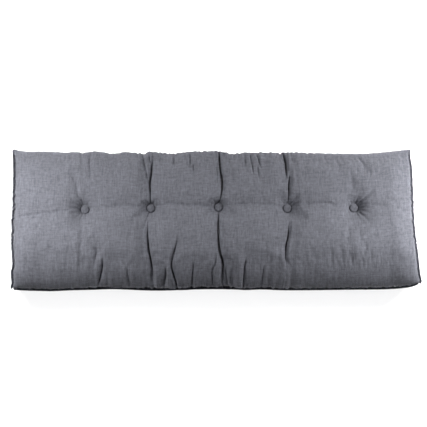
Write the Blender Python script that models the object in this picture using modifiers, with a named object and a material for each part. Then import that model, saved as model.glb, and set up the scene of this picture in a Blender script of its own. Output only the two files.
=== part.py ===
"""Triangle headboard pillow: a long wedge-shaped cushion with five covered buttons.

The pillow lies on its back panel, as it would on a table. Metres, +Z up. X runs along the
pillow, +Y points to the thin top edge, and the deep base faces -Y. The slanted front panel
looks up, and the buttons pull it down in one row.
"""

import math

import bmesh
import bpy
import numpy as np

MM = 0.001

# Driving dimensions
LENGTH = 1.490  # from side seam to side seam, at mid height
HEIGHT = 0.500  # from the top seam to the base; the outlines below follow its seams
DEPTH = 0.200  # thickest place of the filled pillow, near the base

# Seam heights above the surface that the pillow lies on
TOP_SEAM_Z = 0.10 * DEPTH
FRONT_SEAM_Z = 0.675 * DEPTH
FRONT_CORNER_Z = 0.80 * DEPTH
BACK_SEAM_Z = 0.07 * DEPTH
SIDE_SEAM_Z = 0.06 * DEPTH
CORNER_REACH = 0.120  # how far from an end the corners begin to rise

# How far the stuffed panels roll over towards their seams
END_ROLL = 0.095
END_FULLNESS = 0.30  # share of the crown that the side seams keep, so they bow upwards
BACK_ROLL = 0.045
SIDE_BULGE = 0.007
BASE_BULGE = 0.009
BACK_SEAM_INSET = 0.004
FLAT_BACK = 0.0006  # points of the back this close to the surface lie on it
GUSSET_MIDDLE = (-0.20 * HEIGHT, 0.33 * DEPTH)  # y and z of the triangular ends' middles

# Covered buttons
BUTTON_RADIUS = 0.0148
BUTTON_BACK_RADIUS = 0.0120
BUTTON_HEIGHT = 0.0090
BUTTON_RIM_HEIGHT = 0.0034  # where the dome is widest
BUTTON_CURL = 0.0012  # where the cloth curls under to the flat back
BUTTON_GAP = 0.0003
SEAT_RADIUS = 0.0185  # flat cloth under a button
SEAT_RIM = 0.0270  # where the cloth around the seat is free again
SEAT_DEPTH = 0.046  # below the crown that the panel would have without buttons
PIT_SPREAD = 0.036  # how fast the cloth rises again around a seat

# Fold shapes
FOLD_SHARPNESS = 1.8  # 1 is a straight-sided valley, more is a narrower one
FOLD_MEETING = 4  # the higher, the less two folds add up where they meet
SLIT_WIDTH = 0.013
SEAM_HOLD = 0.045  # the seams hold folds shallow within this distance
SEAM_SHARE = 0.22  # share of a fold's depth that is left at the seam
FADE_SHARE = 0.30  # share of a fold's length over which a loose end runs out

# Mesh fineness before it is thinned
FRONT_ROWS = 60
BASE_ROWS = 14
BACK_ROWS = 20
CAP_RINGS = 9
BODY_STATIONS = 300
END_CROWDING = 0.35  # 0 spaces the stations evenly, more crowds them at the ends
DOME_STEPS = 6
KEPT_SHARE = 0.19
SEAT_CARE = 100.0  # how strongly the thinning spares the cloth around a seat
PATH_STEPS = 22
CROWN_STEPS = 120
BUTTON_STEPS = 28

CLOTH_COLOUR = (0.175, 0.180, 0.208, 1.0)
BUTTON_COLOUR = (0.190, 0.195, 0.225, 1.0)

# Crown of the front panel over the straight line between its seams.
# Columns: thousandths of the way from the top seam to the base seam, rise in mm.
FRONT_CROWN = (
    (0, 0),
    (30, 14),
    (80, 27),
    (160, 41),
    (280, 55),
    (420, 67),
    (560, 78),
    (680, 86),
    (780, 86),
    (860, 76),
    (920, 60),
    (960, 43),
    (985, 25),
    (1000, 0),
)

# Seam outline seen from above, uneven as sewn. Columns: x in mm, y in mm.
TOP_OUTLINE = (
    (-751, 256),
    (-735, 252),
    (-684, 245),
    (-628, 246),
    (-554, 242),
    (-500, 243),
    (-484, 239),
    (-443, 246),
    (-400, 242),
    (-369, 239),
    (-321, 245),
    (-265, 238),
    (-250, 244),
    (-157, 237),
    (-91, 244),
    (21, 246),
    (62, 239),
    (128, 244),
    (245, 243),
    (254, 238),
    (280, 245),
    (377, 241),
    (503, 238),
    (577, 238),
    (651, 244),
    (707, 251),
    (735, 254),
)
BASE_OUTLINE = (
    (-750, -251),
    (-715, -252),
    (-675, -253),
    (-602, -255),
    (-529, -252),
    (-448, -250),
    (-371, -246),
    (-236, -253),
    (-108, -250),
    (-71, -245),
    (-2, -243),
    (61, -246),
    (112, -250),
    (174, -246),
    (277, -252),
    (478, -248),
    (624, -247),
    (697, -240),
    (734, -233),
    (756, -228),
)
# Columns: y in mm, x in mm.
LEFT_OUTLINE = (
    (-251, -741),
    (-235, -737),
    (-197, -740),
    (-168, -735),
    (-88, -742),
    (-44, -741),
    (-15, -744),
    (29, -741),
    (80, -743),
    (121, -742),
    (195, -745),
    (256, -751),
)
RIGHT_OUTLINE = (
    (-230, 754),
    (-190, 747),
    (-117, 741),
    (-37, 734),
    (66, 732),
    (177, 731),
    (232, 726),
    (254, 731),
)

# Columns: name, x in mm, y in mm.
BUTTONS = (
    ("button_1", -474, 30),
    ("button_2", -233, 35),
    ("button_3", 15, 39),
    ("button_4", 267, 35),
    ("button_5", 511, 36),
)

# Folds of the front panel, seen from above. Columns: name, half width of the valley in mm,
# depth of the valley in mm, depth of the slit along its floor in mm, which ends run out,
# and the points in mm that the fold passes through.
FOLDS = (
    ("row_left", 40, 5, 1, "start", ((-722, 4), (-653, 12), (-606, 18), (-541, 26), (-485, 30))),
    ("row_12", 58, 13, 2, "", ((-474, 33), (-352, 43), (-233, 40))),
    ("row_23", 58, 15, 2, "", ((-233, 40), (-155, 50), (-89, 43), (15, 41))),
    ("row_34", 58, 15, 2, "", ((15, 41), (94, 48), (174, 50), (267, 41))),
    ("row_45", 58, 13, 2, "", ((267, 41), (386, 50), (511, 40))),
    ("row_right", 60, 7, 0, "end", ((511, 40), (580, 44), (650, 40))),
    ("column_1_up", 60, 9, 0, "end", ((-480, 40), (-492, 75), (-500, 120), (-496, 200))),
    ("column_1_fold", 26, 5, 3, "start", ((-484, 50), (-498, 83), (-506, 122))),
    ("column_1_down", 60, 8, 0, "end", ((-476, 20), (-482, -70), (-484, -200))),
    ("column_1_seam", 20, 4, 4, "end", ((-457, 242), (-459, 194), (-454, 157), (-457, 128))),
    ("column_2_up", 58, 20, 9, "",
     ((-227, 240), (-230, 194), (-233, 157), (-237, 128), (-235, 94), (-233, 45))),
    ("column_2_branch", 20, 5, 6, "", ((-269, 240), (-257, 194), (-249, 157), (-238, 124))),
    ("column_2_down", 58, 18, 8, "",
     ((-234, 25), (-241, -40), (-238, -109), (-232, -144), (-225, -180), (-221, -230))),
    ("column_2_side", 26, 4, 2, "end", ((-238, 18), (-252, -26), (-262, -62))),
    ("column_3_up", 58, 20, 11, "", ((16, 244), (20, 183), (27, 146), (28, 120), (26, 91), (16, 48))),
    ("column_3_up_side", 16, 3, 5, "both", ((8, 232), (8, 191), (11, 153), (12, 105))),
    ("column_3_down", 58, 18, 11, "",
     ((16, 28), (14, -37), (15, -87), (20, -126), (29, -162), (29, -206), (26, -246))),
    ("column_3_down_side", 14, 2, 2, "both", ((29, -8), (30, -40), (29, -80))),
    ("column_3_low", 22, 5, 7, "start", ((1, -95), (6, -137), (2, -169), (-7, -191), (-4, -243))),
    ("column_4_up", 50, 14, 11, "end", ((253, 242), (258, 225), (263, 202), (264, 168), (266, 130))),
    ("column_4_inner", 46, 14, 8, "start", ((277, 162), (273, 128), (272, 102), (268, 48))),
    ("column_4_down", 56, 16, 7, "end",
     ((268, 25), (266, -44), (265, -73), (259, -105), (257, -137), (261, -195))),
    ("column_4_side", 18, 3, 3, "both", ((277, 8), (276, -37), (270, -78))),
    ("column_5_up", 60, 9, 0, "end", ((511, 45), (505, 100), (500, 190))),
    ("column_5_down", 60, 9, 0, "end", ((511, 28), (505, -60), (508, -200))),
    ("pad_1_low", 24, 6, 6, "start", ((-426, -80), (-425, -123), (-430, -152), (-434, -190))),
    ("pad_1_low_side", 22, 6, 8, "start", ((-401, -126), (-403, -169), (-407, -195), (-420, -240))),
    ("pad_2_low", 30, 9, 9, "start",
     ((-131, -44), (-137, -91), (-146, -123), (-154, -152), (-155, -177), (-149, -202), (-137, -244))),
    ("pad_2_low_left", 16, 4, 6, "start", ((-176, -168), (-175, -206), (-182, -244))),
    ("pad_2_low_right", 16, 4, 5, "start", ((-74, -150), (-77, -188), (-82, -244))),
    ("pad_2_top_a", 14, 3, 5, "end", ((-90, 240), (-90, 210), (-88, 178))),
    ("pad_2_top_b", 14, 3, 4, "both", ((-80, 208), (-77, 180), (-73, 145))),
    ("pad_2_top_c", 14, 3, 4, "end", ((-150, 238), (-147, 184))),
    ("pad_2_top_d", 14, 3, 3, "end", ((-203, 238), (-198, 190))),
    ("pad_3_top_a", 18, 4, 8, "end", ((155, 242), (163, 212), (173, 172))),
    ("pad_3_top_b", 14, 3, 4, "both", ((156, 205), (160, 175), (166, 130))),
    ("pad_3_top_c", 16, 4, 5, "end", ((131, 240), (140, 183), (144, 148))),
    ("pad_3_top_d", 14, 3, 5, "end", ((112, 242), (115, 178))),
    ("pad_3_top_e", 14, 3, 4, "end", ((54, 240), (56, 192))),
    ("pad_3_low_a", 18, 4, 6, "start", ((40, -175), (43, -205), (49, -244))),
    ("pad_3_low_b", 24, 6, 7, "start", ((118, -130), (108, -180), (104, -245))),
    ("pad_3_low_c", 18, 4, 2, "start", ((180, -165), (176, -205), (171, -245))),
    ("pad_1_end_low", 18, 3, 2, "start", ((-502, -165), (-505, -205), (-507, -245))),
    ("pad_1_mid_low", 18, 4, 2, "start", ((-340, -165), (-334, -200), (-328, -240))),
    ("pad_1_right_low", 18, 3, 2, "start", ((-320, -170), (-312, -205), (-305, -245))),
    ("end_left_soft", 26, 4, 1, "both", ((-728, 76), (-695, 85), (-655, 92))),
    ("end_right_top", 24, 4, 2, "both", ((522, 232), (540, 209), (560, 186))),
    ("end_right_ray_up", 22, 3, 1, "end", ((528, 56), (557, 80), (590, 104))),
    ("end_right_ray_low", 24, 3, 1, "end", ((526, 26), (548, 0), (572, -30))),
)


def clear_scene():
    for obj in list(bpy.data.objects):
        bpy.data.objects.remove(obj, do_unlink=True)


def cloth_material(name, colour):
    material = bpy.data.materials.new(name)
    material.use_nodes = True
    shader = material.node_tree.nodes["Principled BSDF"]
    shader.inputs["Base Color"].default_value = colour
    shader.inputs["Roughness"].default_value = 0.92
    shader.inputs["Metallic"].default_value = 0.0
    return material


def outline_at(table, along):
    """The second column of an outline in metres, at places along its first column."""
    rows = np.array(table, float) * MM
    return np.interp(along, rows[:, 0], rows[:, 1])


def ease(share):
    """A smooth step from 0 to 1."""
    share = np.clip(share, 0.0, 1.0)
    return share * share * (3.0 - 2.0 * share)


def hollow(share):
    """Cross-section of a fold between two stuffed pads: 1 at its line, 0 from share 1 on."""
    return np.clip(1.0 - share, 0.0, None) ** FOLD_SHARPNESS


def curve_through(points, step_count):
    """A smooth line through points given in mm: a Catmull-Rom spline, in metres."""
    knots = np.array(points, float) * MM
    knots = np.vstack((2 * knots[0] - knots[1], knots, 2 * knots[-1] - knots[-2]))
    spans = len(knots) - 3
    steps = np.linspace(0.0, spans, step_count)
    first = np.minimum(steps.astype(int), spans - 1)
    t = (steps - first)[:, None]
    a, b, c, d = (knots[first + k] for k in range(4))
    return 0.5 * (2 * b + (c - a) * t + (2 * a - 5 * b + 4 * c - d) * t**2 + (3 * b - a - 3 * c + d) * t**3)


def distance_to_line(x, y, line):
    """How far each place is from the line, and what share of the line lies before it."""
    nearest = np.full(x.shape, np.inf)
    share = np.zeros(x.shape)
    for k in range(len(line) - 1):
        start, run = line[k], line[k + 1] - line[k]
        t = ((x - start[0]) * run[0] + (y - start[1]) * run[1]) / (run @ run)
        t = np.clip(t, 0.0, 1.0)
        gap = np.hypot(x - start[0] - t * run[0], y - start[1] - t * run[1])
        closer = gap < nearest
        nearest = np.where(closer, gap, nearest)
        share = np.where(closer, (k + t) / (len(line) - 1), share)
    return nearest, share


def fold_depth(x, y):
    """How deep the buttons and folds press the front panel at each place."""
    valleys = np.zeros(x.shape)
    slits = np.zeros(x.shape)
    for _, half_width, valley, slit, loose, points in FOLDS:
        gap, share = distance_to_line(x, y, curve_through(points, PATH_STEPS))
        fade = np.ones(x.shape)
        if loose in ("start", "both"):
            fade *= ease(share / FADE_SHARE)
        if loose in ("end", "both"):
            fade *= ease((1.0 - share) / FADE_SHARE)
        valleys += (fade * valley * MM * hollow(gap / (half_width * MM))) ** FOLD_MEETING
        slits = np.maximum(slits, fade * slit * MM * hollow(gap / SLIT_WIDTH))
    for _, button_x, button_y in BUTTONS:
        gap = np.hypot(x - button_x * MM, y - button_y * MM)
        valleys += (SEAT_DEPTH * np.exp(-np.maximum(gap - SEAT_RADIUS, 0.0) / PIT_SPREAD)) ** FOLD_MEETING
    return valleys ** (1 / FOLD_MEETING) + slits


def station_shares():
    """Places along the pillow as (x share from -1 to 1, share of the way out of a gusset).

    The first rings spread from the centre of the +X gusset to its seam, the stations then run
    along the pillow, and the last rings close in on the centre of the -X gusset.
    """
    rings = np.sin(np.linspace(0.0, math.pi / 2, CAP_RINGS + 1))
    even = np.linspace(1.0, -1.0, BODY_STATIONS + 1)
    crowded = np.sin(even * math.pi / 2)
    body = even + END_CROWDING * (crowded - even)
    shares = [(1.0, ring) for ring in rings[:-1]]
    shares += [(x, 1.0) for x in body]
    shares += [(-1.0, ring) for ring in rings[-2::-1]]
    return np.array(shares)


def section_places():
    """Places around the section as (panel, share along it), from the top seam over the front."""
    even = [k / FRONT_ROWS for k in range(FRONT_ROWS)]
    crowded = [0.5 - 0.5 * math.cos(math.pi * share) for share in even]
    places = [(0, (a + b) / 2) for a, b in zip(even, crowded)]
    places += [(1, k / BASE_ROWS) for k in range(BASE_ROWS)]
    places += [(2, k / BACK_ROWS) for k in range(BACK_ROWS)]
    return np.array(places)


def crown(share):
    """Rise of the front panel at a share of the way from its top seam to its base seam."""
    line = curve_through(FRONT_CROWN, CROWN_STEPS)
    return np.interp(share, line[:, 0], line[:, 1])


def cloth_points(x_share, ring, panel, share):
    """The filled cover: one point for each station along the pillow and place around it."""
    nominal_x = x_share * LENGTH / 2
    to_end = LENGTH / 2 - np.abs(nominal_x)
    rolled = np.sqrt(1.0 - (1.0 - np.clip(to_end / END_ROLL, 0.0, 1.0)) ** 2)
    fullness = END_FULLNESS + (1.0 - END_FULLNESS) * rolled
    corner = 1.0 - ease(to_end / CORNER_REACH)

    top_y = outline_at(TOP_OUTLINE, nominal_x)
    base_y = outline_at(BASE_OUTLINE, nominal_x)
    front_z = FRONT_SEAM_Z + (FRONT_CORNER_Z - FRONT_SEAM_Z) * corner
    back_y = base_y + BACK_SEAM_INSET

    # Front panel: the straight line between its seams, plus the crown at right angles to it.
    chord_y, chord_z = base_y - top_y, front_z - TOP_SEAM_Z
    chord = np.hypot(chord_y, chord_z)
    rise = crown(share) * fullness
    front = (
        top_y + chord_y * share + rise * chord_z / chord,
        TOP_SEAM_Z + chord_z * share - rise * chord_y / chord,
    )
    # Base panel: bulges towards -Y between the front seam and the back seam.
    base = (
        base_y + (back_y - base_y) * share - BASE_BULGE * fullness * np.sin(math.pi * share),
        front_z + (BACK_SEAM_Z - front_z) * share,
    )
    # Back panel: flat on the surface, and rounded up to its seams.
    back_line = back_y + (top_y - back_y) * share
    lift = np.maximum.reduce(
        [
            BACK_SEAM_Z * np.clip(1.0 - (back_line - back_y) / BACK_ROLL, 0.0, None) ** 2,
            TOP_SEAM_Z * np.clip(1.0 - (top_y - back_line) / BACK_ROLL, 0.0, None) ** 2,
            SIDE_SEAM_Z * np.clip(1.0 - to_end / BACK_ROLL, 0.0, None) ** 2,
        ]
    )
    y = np.where(panel == 0, front[0], np.where(panel == 1, base[0], back_line))
    z = np.where(panel == 0, front[1], np.where(panel == 1, base[1], lift))

    # Gussets: rings that close in on the middle of the triangular end.
    middle_y, middle_z = GUSSET_MIDDLE
    y = middle_y + (y - middle_y) * ring
    z = middle_z + (z - middle_z) * ring
    left, right = outline_at(LEFT_OUTLINE, y), outline_at(RIGHT_OUTLINE, y)
    x = left + (right - left) * (x_share + 1.0) / 2
    x += np.sign(x_share) * SIDE_BULGE * np.sqrt(np.clip(1.0 - ring**2, 0.0, 1.0))

    # Buttons and folds press the front panel down, and it lies flat under each button.
    on_front = (panel == 0) & (ring == 1.0)
    crown_z = z
    to_seam = chord * np.minimum(share, 1.0 - share)
    held = SEAM_SHARE + (1.0 - SEAM_SHARE) * ease(to_seam / SEAM_HOLD)
    held *= ease(to_end / SEAM_HOLD)
    z = z - np.where(on_front, fold_depth(x, y) * held, 0.0)
    for _, button_x, button_y in BUTTONS:
        gap = np.hypot(x - button_x * MM, y - button_y * MM)
        seat = 1.0 - ease((gap - SEAT_RADIUS) / (SEAT_RIM - SEAT_RADIUS))
        level = seat_height(button_x, button_y)
        z = np.where(on_front, z + (level - z) * seat, z)
    return x, y, np.minimum(z, crown_z)


def seat_height(button_x, button_y):
    """Height of the flat cloth under a button: a set depth below the crown at its middle."""
    x, y = button_x * MM, button_y * MM
    top_y, base_y = outline_at(TOP_OUTLINE, x), outline_at(BASE_OUTLINE, x)
    share = (top_y - y) / (top_y - base_y)
    chord_z = TOP_SEAM_Z + (FRONT_SEAM_Z - TOP_SEAM_Z) * share
    return chord_z + crown(share) - SEAT_DEPTH


def make_cushion(collection, material):
    """The filled cover as one body: a UV sphere whose points take their places on the cloth."""
    stations, places = station_shares(), section_places()
    bm = bmesh.new()
    bmesh.ops.create_uvsphere(bm, u_segments=len(places), v_segments=len(stations) - 1, radius=1.0)
    sphere = np.array([v.co for v in bm.verts])
    polar = np.arccos(np.clip(sphere[:, 2], -1.0, 1.0)) / math.pi
    turn = np.arctan2(sphere[:, 1], sphere[:, 0]) / (2 * math.pi) - 0.25  # the first meridian lies at +Y
    station = np.rint(polar * (len(stations) - 1)).astype(int)
    place = np.rint(turn * len(places)).astype(int) % len(places)
    if len(set(zip(station, place))) < len(sphere) - 2:
        raise ValueError("two points of the cover have the same place")
    x_share, ring = stations[station].T
    panel, share = places[place].T
    for vert, point in zip(bm.verts, np.transpose(cloth_points(x_share, ring, panel, share))):
        vert.co = point
    mesh = bpy.data.meshes.new("cushion_fine")
    bm.to_mesh(mesh)
    bm.free()

    cushion = bpy.data.objects.new("cushion", mesh)
    collection.objects.link(cushion)
    seats = cushion.vertex_groups.new(name="seats")
    x, y, _ = np.array([v.co for v in mesh.vertices]).T
    for _, button_x, button_y in BUTTONS:
        near = np.hypot(x - button_x * MM, y - button_y * MM) < SEAT_RIM
        seats.add(np.flatnonzero(near).tolist(), 1.0, "REPLACE")
    thin = cushion.modifiers.new("thin", "DECIMATE")
    thin.ratio = KEPT_SHARE
    thin.vertex_group = seats.name
    thin.invert_vertex_group = True
    thin.vertex_group_factor = SEAT_CARE
    bpy.context.view_layer.update()
    thinned = bpy.data.meshes.new_from_object(cushion.evaluated_get(bpy.context.evaluated_depsgraph_get()))
    cushion.modifiers.clear()
    cushion.vertex_groups.clear()
    cushion.data = thinned
    bpy.data.meshes.remove(mesh)
    for vert in thinned.vertices:
        if vert.co.z < FLAT_BACK:
            vert.co.z = 0.0
    thinned.shade_smooth()
    thinned.materials.append(material)
    return cushion


def make_button(collection, material, name, x, y):
    """A covered button: a turned dome with a flat back, seated on the cloth of its pit."""
    dome = BUTTON_HEIGHT - BUTTON_RIM_HEIGHT
    profile = [(0.0, BUTTON_HEIGHT)]
    for k in range(1, DOME_STEPS + 1):
        turn = math.pi / 2 * k / DOME_STEPS
        profile.append((BUTTON_RADIUS * math.sin(turn), BUTTON_RIM_HEIGHT + dome * math.cos(turn)))
    profile.append((BUTTON_RADIUS - BUTTON_CURL / 2, BUTTON_CURL))
    profile.append((BUTTON_BACK_RADIUS, 0.0))
    profile.append((0.0, 0.0))
    mesh = bpy.data.meshes.new(name)
    mesh.from_pydata([(r, 0.0, z) for r, z in profile], [(k, k + 1) for k in range(len(profile) - 1)], [])
    button = bpy.data.objects.new(name, mesh)
    collection.objects.link(button)
    turned = button.modifiers.new("turned", "SCREW")
    turned.steps = turned.render_steps = BUTTON_STEPS
    turned.use_merge_vertices = True
    turned.merge_threshold = 0.00001
    button.location = (x * MM, y * MM, seat_height(x, y) + BUTTON_GAP)
    mesh.materials.append(material)
    return button


def centre_on_footprint(collection, cushion):
    """Moves every piece so that the origin is under the middle of the cushion."""
    points = np.array([v.co for v in cushion.data.vertices])
    middle = (points.min(axis=0) + points.max(axis=0)) / 2
    for obj in collection.objects:
        obj.location.x -= middle[0]
        obj.location.y -= middle[1]


def main():
    clear_scene()
    collection = bpy.data.collections.new("triangle_headboard_pillow")
    bpy.context.scene.collection.children.link(collection)
    cushion = make_cushion(collection, cloth_material("pillow_cloth", CLOTH_COLOUR))
    button_cloth = cloth_material("button_cloth", BUTTON_COLOUR)
    for name, x, y in BUTTONS:
        make_button(collection, button_cloth, name, x, y)
    centre_on_footprint(collection, cushion)


main()
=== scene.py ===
"""Triangle headboard pillow, dressed: a stuffed wedge in blue-grey linen-look cloth.

The pillow lies on its back panel with its slanted, button-tufted front up, and the camera
looks straight down on it. The file is laid out as an add-on and is run as a script.
"""

import math

import bpy
import numpy as np
from bpy.props import FloatProperty, FloatVectorProperty, PointerProperty
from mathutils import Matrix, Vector, noise


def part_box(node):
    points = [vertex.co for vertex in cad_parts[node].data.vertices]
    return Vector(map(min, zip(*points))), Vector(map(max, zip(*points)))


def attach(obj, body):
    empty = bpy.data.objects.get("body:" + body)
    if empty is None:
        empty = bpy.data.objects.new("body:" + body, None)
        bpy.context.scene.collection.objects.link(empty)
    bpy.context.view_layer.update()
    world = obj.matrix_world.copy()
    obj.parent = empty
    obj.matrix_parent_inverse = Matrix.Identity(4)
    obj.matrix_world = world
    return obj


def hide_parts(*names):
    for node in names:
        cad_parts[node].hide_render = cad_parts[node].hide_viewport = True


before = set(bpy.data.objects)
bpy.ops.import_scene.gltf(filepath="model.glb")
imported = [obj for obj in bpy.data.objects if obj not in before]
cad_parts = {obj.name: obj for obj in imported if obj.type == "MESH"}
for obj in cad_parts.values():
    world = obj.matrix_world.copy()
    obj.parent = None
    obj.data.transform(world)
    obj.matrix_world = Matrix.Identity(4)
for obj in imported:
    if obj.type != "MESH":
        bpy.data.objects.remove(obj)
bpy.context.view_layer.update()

bl_info = {
    "name": "Triangle headboard pillow",
    "version": (1, 0, 0),
    "blender": (4, 5, 0),
    "location": "3D View > Sidebar > Pillow",
    "description": "Makes a button-tufted wedge pillow around its packed solids",
    "category": "Add Mesh",
}

MM = 0.001
BUTTON_NODES = sorted(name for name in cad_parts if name.startswith("button_"))

# The sewn shape, as in the solids. Driving sizes, in metres.
LENGTH = 1.490
HEIGHT = 0.500
DEPTH = 0.200
TOP_SEAM_Z = 0.10 * DEPTH
FRONT_SEAM_Z = 0.675 * DEPTH
FRONT_CORNER_Z = 0.80 * DEPTH
BACK_SEAM_Z = 0.07 * DEPTH
SIDE_SEAM_Z = 0.06 * DEPTH
CORNER_REACH = 0.120
END_ROLL = 0.095
END_FULLNESS = 0.30
END_ROUNDING = 0.6  # under 1 the crown rises faster from the side seams
BACK_ROLL = 0.045
SIDE_INSET = 0.0065  # how far a side seam lies inside the outline
SIDE_INSET_REACH = 0.012  # how far from a side seam the front is drawn in with it
SIDE_RIM = 0.0025  # how far the gusset stands out of the outline beside its seam
SIDE_RIM_REACH = 0.003
BASE_BULGE = 0.001
BACK_SEAM_INSET = 0.006
GUSSET_MIDDLE = (-0.20 * HEIGHT, 0.33 * DEPTH)
GUSSET_RADIUS = 0.09  # about how far a gusset's seam lies from its middle
GUSSET_STEPS = (
    0.006, 0.013, 0.021, 0.031, 0.045, 0.065, 0.095, 0.14, 0.20, 0.28, 0.38, 0.50, 0.64, 0.80, 1.0)
GUSSET_RIM = 0.09  # share of the gusset, from its seam in, that stands up as a rim
BUTTON_GAP = 0.0003
FRONT_WIDTH, BASE_WIDTH, BACK_WIDTH = 0.512, 0.130, 0.500  # across each panel, seam to seam
FLOOR_GAP = 0.0004  # how far the studio floor lies below the pillow
CAMERA_PLACE = (-0.0034, 0.016)  # where the photo was taken from, in the outlines' own measure

# Crown of the front panel over the straight line between its seams.
# Columns: thousandths of the way from the top seam to the base seam, rise in mm.
FRONT_CROWN = (
    (0, 0), (30, 14), (80, 27), (160, 41), (280, 55), (420, 67), (560, 78), (680, 86), (780, 86),
    (860, 76), (920, 60), (960, 43), (985, 25), (1000, 0),
)

# Seam outline seen from above. Columns: x in mm, y in mm.
TOP_OUTLINE = (
    (-751, 258), (-735, 254), (-684, 248), (-628, 249), (-554, 245), (-500, 246), (-484, 242),
    (-443, 249), (-400, 245), (-369, 242), (-321, 248), (-265, 241), (-250, 250), (-157, 243),
    (-91, 250), (21, 252), (62, 242), (128, 247), (245, 246), (254, 241), (280, 248), (377, 244),
    (503, 241), (577, 241), (651, 247), (707, 253), (735, 256),
)
BASE_OUTLINE = (
    (-750, -261), (-715, -263), (-675, -265), (-602, -267), (-529, -264), (-448, -262), (-371, -260),
    (-236, -265), (-108, -263), (-71, -261), (-2, -260), (61, -261), (112, -263), (174, -261),
    (277, -264), (478, -262), (624, -260), (697, -253), (734, -244), (756, -238),
)
# Columns: y in mm, x in mm.
LEFT_OUTLINE = (
    (-251, -738), (-235, -734), (-197, -737), (-168, -732), (-88, -739), (-44, -738), (-15, -741),
    (29, -738), (80, -740), (121, -740), (195, -743), (256, -749),
)
RIGHT_OUTLINE = (
    (-230, 750), (-190, 743), (-117, 737), (-37, 730), (66, 728), (177, 729), (232, 724), (254, 729),
)

# Where the buttons are sewn on, in the outlines' own measure. Columns: x in mm, y in mm.
BUTTON_PLACES = ((-474, 30), (-233, 35), (15, 39), (267, 35), (511, 36))

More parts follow.
